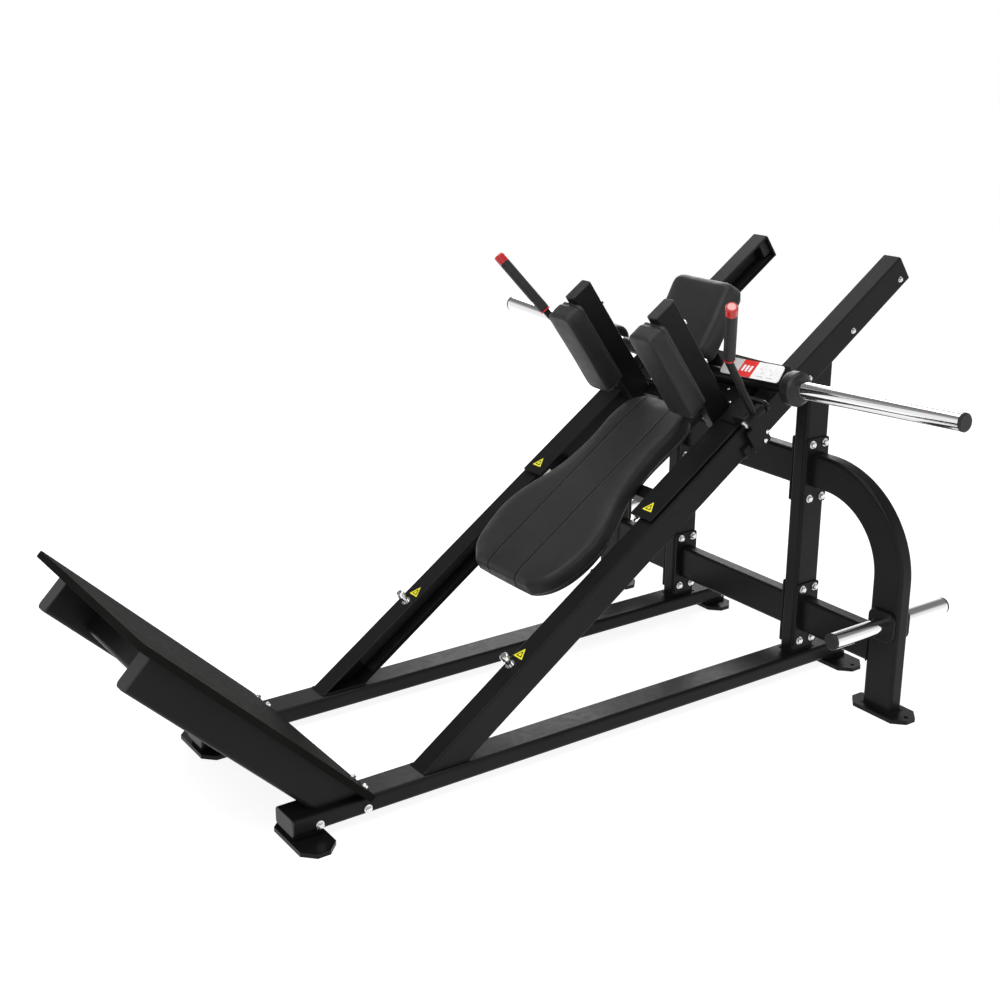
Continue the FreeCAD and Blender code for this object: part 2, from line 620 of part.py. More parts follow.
side_web = plain("Box", "side_web", on_rail(dim("side_start") + dim("lip_overhang"),
                                            -dim("side_y"), dim("lip_gap") - dim("side_height")),
                 Length="dims.side_end - dims.side_start - dims.lip_overhang",
                 Width="dims.side_wall", Height="dims.side_height")
LIP_OUTER = dim("lip_outer_y")
lip_stock = panel("side_lip", "dims.lip_end - dims.side_start", "dims.lip_width",
                  "dims.lip_thickness", "4", edge=1.5)
lip_stock.Placement = on_rail((dim("side_start") + dim("lip_end")) / 2,
                              dim("lip_width") / 2 - LIP_OUTER, dim("lip_gap"))
both_sides(fuse("carriage_side", [side_web, lip_stock]), "carriage_side")

ROLLER_LIFT = (dim("rail_wall") + dim("track_thickness") + 0.35 + dim("roller_radius")
               - dim("rail_height"))
ROLLER_INNER = dim("roller_centre_y") - dim("roller_width") / 2 + 1
ROLLER_OUTER = ROLLER_INNER + dim("roller_width") - 2
RUNNING_FIT = 0.3
rim, bore = dim("roller_radius"), dim("bearing_radius") + RUNNING_FIT
width = dim("roller_width") - 2
roller = turned("roller", [(bore, 0), (rim - 3, 0), (rim, 3), (rim, width - 3), (rim - 3, width),
                           (bore, width)])
for name, along in (("lower", dim("low_roller_along")), ("upper", dim("high_roller_along"))):
    for side, turn, label in ((-1, TOWARDS_LEFT, "left"), (1, TOWARDS_RIGHT, "right")):
        place = on_rail(along, side * ROLLER_INNER, ROLLER_LIFT, turn)
        keep(copies(f"{name}_roller_{label}_link", roller, [place]), f"{name}_roller_{label}")

axle_radius, bearing_radius = dim("axle_radius"), dim("bearing_radius")
head_radius, head_length = dim("axle_head_radius"), dim("axle_head_length")
axle_start = dim("side_y") - dim("side_wall") - head_length - 0.2
retainer_start = ROLLER_OUTER + 0.4 - axle_start
retainer_end = retainer_start + dim("retainer_thickness")
axle = turned("axle", [(0, 0), (head_radius, 0), (head_radius, head_length),
                       (axle_radius, head_length), (axle_radius, retainer_start),
                       (dim("retainer_radius"), retainer_start),
                       (dim("retainer_radius"), retainer_end), (0, retainer_end)])
bearing_in = (dim("roller_width") - 2 - 2 * dim("bearing_width")) / 2
bearing = turned("bearing", [(axle_radius, 0), (bearing_radius, 0),
                             (bearing_radius, 2 * dim("bearing_width")),
                             (axle_radius, 2 * dim("bearing_width"))])
axle_places, bearing_places = [], []
for along in (dim("low_roller_along"), dim("high_roller_along")):
    for side, turn in ((-1, TOWARDS_LEFT), (1, TOWARDS_RIGHT)):
        axle_places.append(on_rail(along, side * axle_start, ROLLER_LIFT, turn))
        bearing_places.append(on_rail(along, side * (ROLLER_INNER + bearing_in), ROLLER_LIFT,
                                      turn))
roller_axles = copies("roller_axle_set", axle, axle_places)
keep(copies("roller_bearings", bearing, bearing_places), "roller_bearings")

# ---------------------------------------------------------------- pad frame

PAD_BOTTOM = dim("back_pad_top") - dim("back_pad_thickness")
BOARD_BOTTOM = PAD_BOTTOM - 0.4 - dim("board_thickness")
BEAM_TOP = BOARD_BOTTOM - 0.4
beam_half = dim("beam_size") / 2
inner_y = dim("side_y") - dim("side_wall")
beams = []
for name, along in (("low_beam", dim("low_beam_along")), ("high_beam", dim("high_beam_along"))):
    beam = section(name, "dims.beam_size", "dims.beam_size",
                   "2 * (dims.side_y - dims.side_wall)", corner="5", wall="dims.tube_wall")
    beam.Placement = on_rail(along, -inner_y, BEAM_TOP - beam_half, ALONG_Y)
    beams.append(beam)
for side in (-1, 1):
    bar = section(f"pad_bar_{side + 1}", "dims.beam_size", "dims.beam_size / 2",
                  "dims.high_beam_along + dims.beam_size / 2 - dims.pad_bar_start", corner="4",
                  wall="dims.tube_wall")
    bar.Placement = on_rail(dim("pad_bar_start"), side * dim("pad_bar_y"),
                            BEAM_TOP - beam_half / 2)
    beams.append(bar)
keep(fuse("pad_frame", beams), "pad_frame")

# ---------------------------------------------------------------- pads

# the back pad's half widths, at distances from its lower end
PAD_OUTLINE = [(0, 132), (58, 190), (215, dim("back_pad_widest")), (395, 160),
               (515, dim("back_pad_waist")), (630, 146), (690, 136), (722, 114), (740, 78),
               (dim("back_pad_end") - dim("back_pad_start"), 30)]


def pad_face(inset):
    """The hourglass outline of the back pad as a face, drawn inwards by `inset`."""
    stations = [(along + inset if k == 0 else along, half - inset)
                for k, (along, half) in enumerate(PAD_OUTLINE)]
    stations[-1] = (stations[-1][0] - inset, stations[-1][1])
    side = Part.BSplineCurve()
    side.interpolate([Vector(along, half, 0) for along, half in stations])
    other = Part.BSplineCurve()
    other.interpolate([Vector(along, -half, 0) for along, half in reversed(stations)])
    edges = [side.toShape(),
             Part.LineSegment(side.EndPoint, other.StartPoint).toShape(),
             other.toShape(),
             Part.LineSegment(other.EndPoint, side.StartPoint).toShape()]
    return Part.Face(Part.Wire(edges))


back_pad = doc.addObject("Part::Feature", "back_pad")
back_pad.Shape = pad_face(0).extrude(Vector(0, 0, dim("back_pad_thickness")))
keep(back_pad, "back_pad", on_rail(dim("back_pad_start"), 0, PAD_BOTTOM))

board = doc.addObject("Part::Feature", "back_pad_board")
board.Shape = pad_face(14).extrude(Vector(0, 0, dim("board_thickness")))
board.Placement = on_rail(dim("back_pad_start"), 0, BOARD_BOTTOM)

SHOULDER_BACK = dim("shoulder_pad_along") + dim("shoulder_pad_thickness")
ARM_FRONT = SHOULDER_BACK + dim("board_thickness") - 1
shoulder_middle = dim("shoulder_pad_low") + dim("shoulder_pad_length") / 2
shoulder = panel("shoulder_pad", "dims.shoulder_pad_length", "dims.shoulder_pad_width",
                 "dims.shoulder_pad_thickness", "22", edge=10)
both_sides(shoulder, "shoulder_pad",
           on_rail(SHOULDER_BACK, -dim("shoulder_y"), shoulder_middle, TOWARDS_FRONT))
shoulder_board = panel("shoulder_board", "dims.shoulder_pad_length - 16",
                       "dims.shoulder_pad_width - 16", "dims.board_thickness - 2", "16")
shoulder_board_places = [on_rail(ARM_FRONT - 0.3, side * dim("shoulder_y"), shoulder_middle,
                                 TOWARDS_FRONT) for side in (-1, 1)]

HEAD_TILT = Rotation(ACROSS, -dim("head_pad_tilt"))
head_turn = RAIL_TURN.multiply(HEAD_TILT)
HEAD_TOP = on_rail(dim("head_pad_along"), 0, dim("head_pad_top")).Base
head_up = head_turn.multVec(Vector(1, 0, 0))
head_out = head_turn.multVec(UPRIGHT)
head_middle = HEAD_TOP - head_up * (dim("head_pad_length") / 2)
head = panel("head_pad_block", "dims.head_pad_length", "dims.head_pad_width",
             "dims.head_pad_thickness", "34", edge=12)
keep(head, "head_pad", Placement(head_middle - head_out * dim("head_pad_thickness"), head_turn))
head_board = panel("head_board", "dims.head_pad_length - 30", "dims.head_pad_width - 30",
                   "dims.board_thickness", "24")
HEAD_BOARD_DEPTH = dim("head_pad_thickness") + 0.4 + dim("board_thickness")
head_board.Placement = Placement(head_middle - head_out * HEAD_BOARD_DEPTH, head_turn)
boards = [board, copies("shoulder_boards", shoulder_board, shoulder_board_places), head_board]
keep(group("pad_boards", boards), "pad_boards")

# ---------------------------------------------------------------- shoulder arms and head bracket

ARM_FOOT = BEAM_TOP + 0.4
arm = section("shoulder_arm", "dims.arm_width", "dims.arm_depth",
              f"dims.arm_top - {ARM_FOOT}", corner="6", wall="dims.tube_wall")
both_sides(arm, "shoulder_arm",
           on_rail(ARM_FRONT + dim("arm_depth") / 2, -dim("shoulder_y"), ARM_FOOT, STANDING))
arm_cap = panel("arm_cap", "dims.arm_depth", "dims.arm_width", "6", "6", edge=2)
arm_cap_places = [on_rail(ARM_FRONT + dim("arm_depth") / 2, side * dim("shoulder_y"),
                          dim("arm_top"))
                  for side in (-1, 1)]
keep(copies("shoulder_arm_caps", arm_cap, arm_cap_places), "shoulder_arm_caps")

carriage_bolt = hex_bolt("carriage_bolt", 5, 12)
carriage_bolt_places = []
for side in (-1, 1):
    for lift in (170, 320):
        carriage_bolt_places.append(on_rail(ARM_FRONT + dim("arm_depth"),
                                            side * dim("shoulder_y"), lift, TOWARDS_REAR))
keep(copies("carriage_bolts", carriage_bolt, carriage_bolt_places), "carriage_bolts")

# ---------------------------------------------------------------- head pad post

CROSS_PLATE_BOTTOM = dim("lip_gap") + 0.4
CROSS_PLATE_TOP = CROSS_PLATE_BOTTOM + dim("cross_plate_thickness")
cross_plate = panel("cross_plate", "dims.cross_plate_length", "dims.cross_plate_width",
                    "dims.cross_plate_thickness", "18", edge=1)
keep(cross_plate, "rear_cross_plate",
     on_rail(dim("cross_plate_along"), 0, CROSS_PLATE_BOTTOM))

head_post = section("head_post", "dims.beam_size", "dims.beam_size", "200", corner="5",
                    wall="dims.tube_wall")
head_post.Placement = on_rail(dim("head_post_along"), 0, CROSS_PLATE_TOP + 0.4, STANDING)
above_head_board = block("above_head_board", Placement(
    head_middle - head_out * (HEAD_BOARD_DEPTH + 0.4)
    + head_turn.multVec(Vector(-250, -100, 0)), head_turn), 500, 200, 400)
keep(cut("head_pad_post", head_post, above_head_board), "head_pad_post")

# ---------------------------------------------------------------- plate loading sleeves

sleeve_beam = section("sleeve_beam_tube", "dims.sleeve_beam_depth", "dims.sleeve_beam_height",
                      "2 * (dims.side_y - dims.side_wall)", corner="6", wall="dims.tube_wall")
sleeve_beam.Placement = on_rail(dim("sleeve_along") - dim("stub_radius")
                                + dim("sleeve_beam_depth") / 2, -inner_y,
                                dim("lip_gap") - dim("sleeve_beam_height") / 2, ALONG_Y)


def on_sleeve(side, out):
    """A place on a sleeve's axis, `out` from the middle plane, +Z pointing outwards."""
    tilt = math.radians(dim("sleeve_tilt"))
    middle = on_rail(dim("sleeve_along"), 0, dim("sleeve_lift")).Base
    outwards = Vector(0, side * math.cos(tilt), math.sin(tilt))
    turn = RAIL_TURN.multiply(Rotation(UPRIGHT, RAIL_TURN.inverted().multVec(outwards)))
    return Placement(middle + outwards * (out / math.cos(tilt)), turn)


STUB_OVERLAP = 60
stubs = []
for side in (-1, 1):
    stub = plain("Cylinder", f"sleeve_stub_{side + 1}", on_sleeve(side, 0),
                 Radius="dims.stub_radius", Height=f"dims.sleeve_start_y + {STUB_OVERLAP}")
    stubs.append(stub)
keep(fuse("sleeve_beam_and_stubs", [sleeve_beam] + stubs), "sleeve_beam")

# The deck plate closes the gap between the upper pad beam and the sleeve beam.
deck_start = ARM_FRONT + dim("arm_depth") + 0.4
deck_end = dim("sleeve_along") - dim("stub_radius") - 0.4
deck_half = inner_y - 0.4
deck_plate = plain("Box", "deck_plate_block",
                   on_rail(deck_start, -deck_half, dim("lip_gap") - dim("deck_plate_thickness")),
                   Length=f"{deck_end - deck_start}", Width=f"{2 * deck_half}",
                   Height="dims.deck_plate_thickness")
keep(deck_plate, "deck_plate")

sleeve_bore = dim("stub_radius") + 0.05
sleeve_length = dim("sleeve_end_y") - dim("sleeve_start_y")
sleeve = turned("weight_sleeve", [(sleeve_bore, 0), (dim("sleeve_radius"), 0),
                                  (dim("sleeve_radius"), sleeve_length),
                                  (sleeve_bore, sleeve_length)])
collar_bore, collar_rim = dim("stub_radius") + 0.2, dim("collar_radius")
collar_end = dim("collar_length")
collar = turned("sleeve_collar", [(collar_bore, 0), (collar_rim - 8, 0), (collar_rim - 2, 3),
                                  (collar_rim, 9), (collar_rim, collar_end - 14),
                                  (collar_rim - 5, collar_end - 6),
                                  (collar_rim - 14, collar_end), (collar_bore, collar_end)])
sleeve_cap = turned("sleeve_cap", [(0, -20), (sleeve_bore - 0.3, -20), (sleeve_bore - 0.3, 0),
                                   (dim("sleeve_radius"), 0), (dim("sleeve_radius"), 5),
                                   (dim("sleeve_radius") - 3, 8), (0, 8)])
for side, name in ((-1, "left"), (1, "right")):
    keep(copies(f"weight_sleeve_{name}_link", sleeve, [on_sleeve(side, dim("sleeve_start_y"))]),
         f"weight_sleeve_{name}")
collar_out = dim("sleeve_start_y") - dim("collar_length")
keep(copies("sleeve_collars", collar, [on_sleeve(side, collar_out) for side in (-1, 1)]),
     "sleeve_collars")
keep(copies("sleeve_end_caps", sleeve_cap, [on_sleeve(side, dim("sleeve_end_y"))
                                            for side in (-1, 1)]), "sleeve_end_caps")

# ---------------------------------------------------------------- information placard

def on_placard(out, rise):
    """A place over the left stub, tilted as the placard is, `rise` above the stub's axis."""
    outwards = on_sleeve(-1, 0).Rotation.multVec(UPRIGHT)
    slope = Rotation(ACROSS, -dim("rail_angle") - dim("placard_tilt")).multVec(Vector(1, 0, 0))
    turn = Rotation(slope, -outwards, UPRIGHT, "YXZ")
    shift = turn.multVec(Vector(dim("placard_shift"), 0, rise))
    return Placement(on_sleeve(-1, out).Base + shift, turn)


PLACARD_BOTTOM = dim("stub_radius") + 0.3
placard = panel("placard_block", "dims.placard_length", "dims.placard_width",
                "dims.placard_thickness", "14", edge=1)
keep(placard, "placard_plate",
     on_placard(dim("placard_end") - dim("placard_width") / 2, PLACARD_BOTTOM))
face = panel("placard_sheet", "dims.placard_length - 2 * dims.placard_border",
             "dims.sheet_width", "1.5", "11")
keep(face, "placard_face", on_placard(dim("sheet_end") - dim("sheet_width") / 2,
                                      PLACARD_BOTTOM + dim("placard_thickness")))

# ---------------------------------------------------------------- safety levers


def on_lever(along, y, lift, turn=Rotation()):
    """A place on the left lever, given as for the rails but with `y` counted outwards."""
    return on_rail(along, -y, lift, turn)


def aimed(start, end, reach=0):
    """A place at `start` + `reach`, +Z pointing at `end`; both are (along, out, lift)."""
    tail, tip = Vector(start[0], -start[1], start[2]), Vector(end[0], -end[1], end[2])
    direction = (tip - tail).normalize()
    point = tail + direction * reach
    return on_rail(point.x, point.y, point.z, Rotation(UPRIGHT, direction))


LIP_TOP = dim("lip_gap") + dim("lip_thickness")
HUB = (dim("lever_along"), dim("lever_y"), dim("lever_lift"))
ELBOW = (dim("elbow_along"), dim("elbow_y"), dim("elbow_lift"))
GRIP_TIP = (dim("grip_tip_along"), dim("grip_tip_y"), dim("grip_tip_lift"))
half_hub = dim("lever_hub_length") / 2
BRACKET_BOTTOM = LIP_TOP + 0.4
lug_starts = (HUB[0] - half_hub - 1 - dim("lug_thickness"), HUB[0] + half_hub + 6)
bracket_length = lug_starts[1] - lug_starts[0] + dim("lug_thickness") + 8
LUG_ROOT = 45
bracket_parts = [plain("Box", "lever_bracket_base",
                       on_lever(lug_starts[0] - 4, LIP_OUTER + 3, BRACKET_BOTTOM),
                       Length=f"{bracket_length}", Width="dims.bracket_width",
                       Height="dims.bracket_thickness")]
for k, start in enumerate(lug_starts):
    bracket_parts.append(block(f"lever_lug_{k}", on_lever(start, HUB[1], BRACKET_BOTTOM),
                               dim("lug_thickness"), LUG_ROOT,
                               HUB[2] + dim("lug_radius") - BRACKET_BOTTOM))
    bracket_parts.append(plain("Cylinder", f"lever_lug_round_{k}",
                               on_lever(start, HUB[1], HUB[2], TOWARDS_REAR),
                               Radius="dims.lug_radius", Height="dims.lug_thickness"))
HOLE_REACH = 60
hole_place = on_lever(HUB[0] - HOLE_REACH, HUB[1], HUB[2], TOWARDS_REAR)
pin_hole = plain("Cylinder", "lever_pin_hole", hole_place,
                 Radius="dims.lever_pin_radius + 0.05", Height=f"{2 * HOLE_REACH}")
pair(cut("lever_bracket", fuse("lever_bracket_stock", bracket_parts), pin_hole), "lever_brackets")

PIN_HEAD = 4.6
pin_start = lug_starts[0] - PIN_HEAD - 0.4
pin_end = lug_starts[1] + dim("lug_thickness") + PIN_HEAD + 0.4 - pin_start
pin_radius = dim("lever_pin_radius")
pin = turned("lever_pin", [(0, 0), (pin_radius + 5, 0), (pin_radius + 5, PIN_HEAD),
                           (pin_radius, PIN_HEAD), (pin_radius, pin_end - PIN_HEAD),
                           (pin_radius + 4, pin_end - PIN_HEAD), (pin_radius + 4, pin_end),
                           (0, pin_end)])
pin_places = [on_rail(pin_start, side * HUB[1], HUB[2], TOWARDS_REAR) for side in (-1, 1)]
lever_pins = copies("lever_pin_set", pin, pin_places)
keep(group("axles_and_pins", [roller_axles, lever_pins]), "axles_and_pins")

hub = plain("Cylinder", "lever_hub", on_lever(HUB[0] - half_hub, HUB[1], HUB[2], TOWARDS_REAR),
            Radius="dims.lever_hub_radius", Height="dims.lever_hub_length")
elbow_distance = math.dist(HUB, ELBOW)
grip_distance = math.dist(ELBOW, GRIP_TIP)
rod = plain("Cylinder", "lever_rod", aimed(HUB, ELBOW), Radius="dims.lever_rod_radius",
            Height=f"{elbow_distance}")
elbow = plain("Sphere", "lever_elbow", on_lever(*ELBOW), Radius="dims.lever_rod_radius")
core = plain("Cylinder", "lever_core", aimed(ELBOW, GRIP_TIP), Radius="dims.lever_rod_radius",
             Height=f"{grip_distance - 6}")
plate_middle = HUB[0] - dim("stop_plate_length") / 4
NECK_START = HUB[0] - 26
NECK_BOTTOM = -16
stop_neck = block("stop_neck", on_lever(NECK_START, HUB[1] - 2, NECK_BOTTOM), 43,
                  dim("stop_plate_thickness"), HUB[2] - dim("lever_rod_radius") - NECK_BOTTOM)
stop_plate = panel("stop_plate", "dims.stop_plate_length",
                   "dims.stop_plate_top - dims.stop_plate_bottom", "dims.stop_plate_thickness",
                   "8", edge=1)
stop_plate.Placement = on_lever(plate_middle, HUB[1] - 2 - dim("stop_plate_thickness"),
                                (dim("stop_plate_bottom") + dim("stop_plate_top")) / 2,
                                TOWARDS_LEFT)
hub_hole = plain("Cylinder", "lever_hub_hole", hole_place,
                 Radius="dims.lever_pin_radius + 0.3", Height=f"{2 * HOLE_REACH}")
lever_stock = fuse("lever_stock", [hub, rod, elbow, core, stop_neck, stop_plate])
both_sides(cut("safety_lever", lever_stock, hub_hole), "safety_lever")

inside, outside = dim("lever_rod_radius") + 0.2, dim("grip_radius")
GRIP_START, collar_end = dim("grip_start"), dim("grip_collar_length")
grip_run = grip_distance - GRIP_START - collar_end - 1
grip = turned("lever_grip", [(inside, 0), (outside - 2, 0), (outside, 3), (outside, grip_run),
                             (inside, grip_run)])
both_sides(grip, "lever_grip", aimed(ELBOW, GRIP_TIP, GRIP_START))
ring_end = dim("grip_ring_length")
ring = turned("grip_ring", [(inside, 0), (outside, 0), (outside, ring_end), (inside, ring_end)])
ring.Placement = aimed(ELBOW, GRIP_TIP, GRIP_START - ring_end - 0.4)
collar_floor = collar_end - 4.6
red_collar = turned("grip_collar", [(inside, 0), (outside + 0.5, 0),
                                    (outside + 0.5, collar_end - 5), (outside - 2, collar_end),
                                    (0, collar_end), (0, collar_floor), (inside, collar_floor)])
red_collar.Placement = aimed(ELBOW, GRIP_TIP, GRIP_START + grip_run + 0.4)
both_sides(group("grip_trim", [ring, red_collar]), "grip_trim")

parking_lug = plain("Box", "parking_lug",
                    on_lever(dim("lug_along"), RAIL_OUTSIDE + dim("lug_depth"),
                             dim("lug_top") - dim("lug_height")),
                    Length="dims.lug_length", Width="dims.lug_depth", Height="dims.lug_height")
pair(parking_lug, "parking_lugs")

# ---------------------------------------------------------------- striker plates

STRIKER_THICKNESS = 8
STRIKER_BOTTOM = -22
striker = block("striker_plate",
                on_lever(dim("side_start") + 6, inner_y - 0.3, STRIKER_BOTTOM), 32,
                STRIKER_THICKNESS, dim("lip_gap") - 1 - STRIKER_BOTTOM)
hook_radius = STRIKER_THICKNESS / 2
striker_hook = plain("Cylinder", "striker_hook",
                     on_lever(dim("side_start") - 6, inner_y - 0.3 - hook_radius,
                              STRIKER_BOTTOM + hook_radius, TOWARDS_REAR),
                     Radius=f"{hook_radius}", Height="14")
pair(fuse("striker", [striker, striker_hook]), "striker_plates")

# ---------------------------------------------------------------- check and export

doc.recompute()
for obj in doc.Objects:
    if "Invalid" in obj.State or "Error" in obj.State:
        raise RuntimeError(f"{obj.Name} ({obj.Label}) failed: {obj.State}")
for part in sub_parts:
    if part.Shape.isNull() or not part.Shape.isValid():
        raise RuntimeError(f"{part.Label} has no valid shape")
os.makedirs("parts", exist_ok=True)
for part in sub_parts:
    part.Shape.exportStep(f"parts/{part.Label}.step")
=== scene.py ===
import math
import bmesh
import bpy
import numpy
from mathutils import Matrix, Vector, noise
from mathutils.bvhtree import BVHTree


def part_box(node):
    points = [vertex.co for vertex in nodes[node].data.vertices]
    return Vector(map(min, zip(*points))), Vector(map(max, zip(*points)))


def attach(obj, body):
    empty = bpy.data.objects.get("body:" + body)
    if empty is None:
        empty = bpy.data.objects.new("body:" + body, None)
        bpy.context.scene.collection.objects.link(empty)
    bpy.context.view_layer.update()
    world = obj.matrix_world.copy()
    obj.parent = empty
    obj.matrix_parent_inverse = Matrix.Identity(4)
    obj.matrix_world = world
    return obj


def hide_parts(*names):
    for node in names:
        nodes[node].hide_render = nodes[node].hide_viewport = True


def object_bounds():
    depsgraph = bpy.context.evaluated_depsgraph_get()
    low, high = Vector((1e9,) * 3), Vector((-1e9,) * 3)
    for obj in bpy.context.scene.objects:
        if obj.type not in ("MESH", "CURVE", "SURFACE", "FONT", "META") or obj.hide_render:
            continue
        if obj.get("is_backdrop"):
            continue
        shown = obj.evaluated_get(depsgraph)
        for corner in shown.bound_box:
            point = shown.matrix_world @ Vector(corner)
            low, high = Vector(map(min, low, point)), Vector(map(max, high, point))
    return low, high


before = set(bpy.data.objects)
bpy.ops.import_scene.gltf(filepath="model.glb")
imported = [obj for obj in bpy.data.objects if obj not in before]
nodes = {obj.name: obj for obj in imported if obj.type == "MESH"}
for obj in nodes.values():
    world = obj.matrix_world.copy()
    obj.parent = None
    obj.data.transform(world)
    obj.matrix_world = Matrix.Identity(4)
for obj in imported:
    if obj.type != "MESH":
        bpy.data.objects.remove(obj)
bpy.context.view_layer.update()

scene = bpy.context.scene

# ---------------------------------------------------------------- places, in metres

SLOPE_DEGREES = 35.25
SLOPE = math.radians(SLOPE_DEGREES)
RAIL_FOOT = Vector((-0.484, 0, 0.074))
UP_RAIL = Vector((math.cos(SLOPE), 0, math.sin(SLOPE)))
RAIL_NORMAL = Vector((-math.sin(SLOPE), 0, math.cos(SLOPE)))
ACROSS = Vector((0, 1, 0))
LEFT, RIGHT = -1, 1
SIDES = ((LEFT, "left"), (RIGHT, "right"))


def on_rail(along, y, lift):
    """A point measured up the guide rails, across, and square to their top faces."""
    return RAIL_FOOT + UP_RAIL * along + ACROSS * y + RAIL_NORMAL * lift


def placed(origin, x_way, y_way):
    """A matrix that puts local X and Y along the two given directions."""
    x_way, y_way = x_way.normalized(), y_way.normalized()
    z_way = x_way.cross(y_way)
    turn = Matrix((x_way, y_way, z_way)).transposed()
    return Matrix.Translation(origin) @ turn.to_4x4()


# ---------------------------------------------------------------- materials

def new_material(name, colour, roughness, metallic=0.0, specular=0.5, coat=0.0, coat_roughness=0.1,
                 sheen=0.0):
    """A principled material and its parts, with its even values set on the shader itself."""
    material = bpy.data.materials.new(name)
    material.use_nodes = True
    tree = material.node_tree
    shader = tree.nodes["Principled BSDF"]
    shader.inputs["Base Color"].default_value = (*colour, 1)
    shader.inputs["Roughness"].default_value = roughness
    shader.inputs["Metallic"].default_value = metallic
    shader.inputs["Specular IOR Level"].default_value = specular
    shader.inputs["Coat Weight"].default_value = coat
    shader.inputs["Coat Roughness"].default_value = coat_roughness
    shader.inputs["Sheen Weight"].default_value = sheen
    return material, tree, shader


def add(tree, kind, **values):
    """A node of that kind, with its properties and unlinked inputs set."""
    node = tree.nodes.new(kind)
    for key, value in values.items():
        if key in node.inputs:
            node.inputs[key].default_value = value
        else:
            setattr(node, key, value)
    return node


def noise_map(tree, scale, detail=3.0, stretch=(1, 1, 1)):
    """Noise in the object's own coordinates; `stretch` draws it out along an axis."""
    place = add(tree, "ShaderNodeTexCoord")
    mapping = add(tree, "ShaderNodeMapping", Scale=stretch)
    tree.links.new(place.outputs["Object"], mapping.inputs["Vector"])
    texture = add(tree, "ShaderNodeTexNoise", Scale=scale, Detail=detail)
    tree.links.new(mapping.outputs["Vector"], texture.inputs["Vector"])
    return texture.outputs["Fac"]


def spread(tree, factor, low, high):
    """The factor remapped to run from `low` to `high`."""
    node = tree.nodes.new("ShaderNodeMapRange")
    node.inputs["From Min"].default_value = 0.3
    node.inputs["From Max"].default_value = 0.7
    node.inputs["To Min"].default_value = low
    node.inputs["To Max"].default_value = high
    tree.links.new(factor, node.inputs["Value"])
    return node.outputs["Result"]


def tint(tree, shader, factor, dark, light):
    """The base colour runs between two colours with the factor."""
    ramp = tree.nodes.new("ShaderNodeValToRGB")
    ramp.color_ramp.elements[0].position = 0.3
    ramp.color_ramp.elements[0].color = (*dark, 1)
    ramp.color_ramp.elements[1].position = 0.7
    ramp.color_ramp.elements[1].color = (*light, 1)
    tree.links.new(factor, ramp.inputs["Fac"])
    tree.links.new(ramp.outputs["Color"], shader.inputs["Base Color"])


def bump(tree, shader, height, distance, strength, under=None):
    """Raise the surface with the height map, on top of the bump `under` if there is one."""
    node = tree.nodes.new("ShaderNodeBump")
    node.inputs["Strength"].default_value = strength
    node.inputs["Distance"].default_value = distance
    tree.links.new(height, node.inputs["Height"])
    if under:
        tree.links.new(under, node.inputs["Normal"])
    tree.links.new(node.outputs["Normal"], shader.inputs["Normal"])
    return node.outputs["Normal"]


def powder_coat(name, dark, light, roughness, grain=900.0, specular=0.11):
    """Satin powder coat: a fine orange peel and faint clouding."""
    material, tree, shader = new_material(name, light, roughness, specular=specular)
    clouds = noise_map(tree, 5.0)
    tint(tree, shader, clouds, dark, light)
    peel = noise_map(tree, grain, detail=2.0)
    waviness = noise_map(tree, 60.0)
    tree.links.new(spread(tree, waviness, roughness - 0.05, roughness + 0.06),
                   shader.inputs["Roughness"])
    bump(tree, shader, peel, 0.0002, 0.35)
    return material


def polished_metal(name, colour, roughness, streak=(1, 1, 1)):
    """Plated or ground metal with faint marks, drawn out along `streak`."""
    material, tree, shader = new_material(name, colour, roughness, metallic=1.0)
    marks = noise_map(tree, 240.0, stretch=streak)
    tree.links.new(spread(tree, marks, max(roughness - 0.03, 0.02), roughness + 0.05),
                   shader.inputs["Roughness"])
    bump(tree, shader, marks, 0.00005, 0.15)
    return material


def moulded(name, dark, light, roughness, grain=500.0, depth=0.0002, coat=0.0, specular=0.3):
    """Moulded rubber or plastic with a fine grain."""
    material, tree, shader = new_material(name, light, roughness, specular=specular, coat=coat)
    tint(tree, shader, noise_map(tree, 30.0), dark, light)
    fine = noise_map(tree, grain)
    tree.links.new(spread(tree, fine, roughness - 0.05, roughness + 0.05),
                   shader.inputs["Roughness"])
    bump(tree, shader, fine, depth, 0.4)
    return material


def leatherette(name, dark, light, roughness):
    """Grained vinyl: pebbles about 1.5 mm across, with soft creases and slow shading."""
    material, tree, shader = new_material(name, light, roughness, specular=0.22, coat=0.02,
                                          coat_roughness=0.35, sheen=0.01)
    tint(tree, shader, noise_map(tree, 9.0), dark, light)
    place = add(tree, "ShaderNodeTexCoord")
    pebbles = add(tree, "ShaderNodeTexVoronoi", feature="SMOOTH_F1", Scale=620.0, Smoothness=0.6)
    tree.links.new(place.outputs["Object"], pebbles.inputs["Vector"])
    creases = noise_map(tree, 38.0, detail=5.0)
    tree.links.new(spread(tree, creases, roughness - 0.05, roughness + 0.08),
                   shader.inputs["Roughness"])
    under = bump(tree, shader, creases, 0.0008, 0.2)
    bump(tree, shader, pebbles.outputs["Distance"], 0.0003, 0.35, under)
    return material


def painted_board(name):
    """Dark painted plywood with its grain showing through."""
    material, tree, shader = new_material(name, (0.012, 0.011, 0.01), 0.6)
    grain = noise_map(tree, 70.0, stretch=(1, 12, 12))
    tint(tree, shader, grain, (0.008, 0.007, 0.007), (0.018, 0.016, 0.015))
    bump(tree, shader, grain, 0.0003, 0.4)
    return material


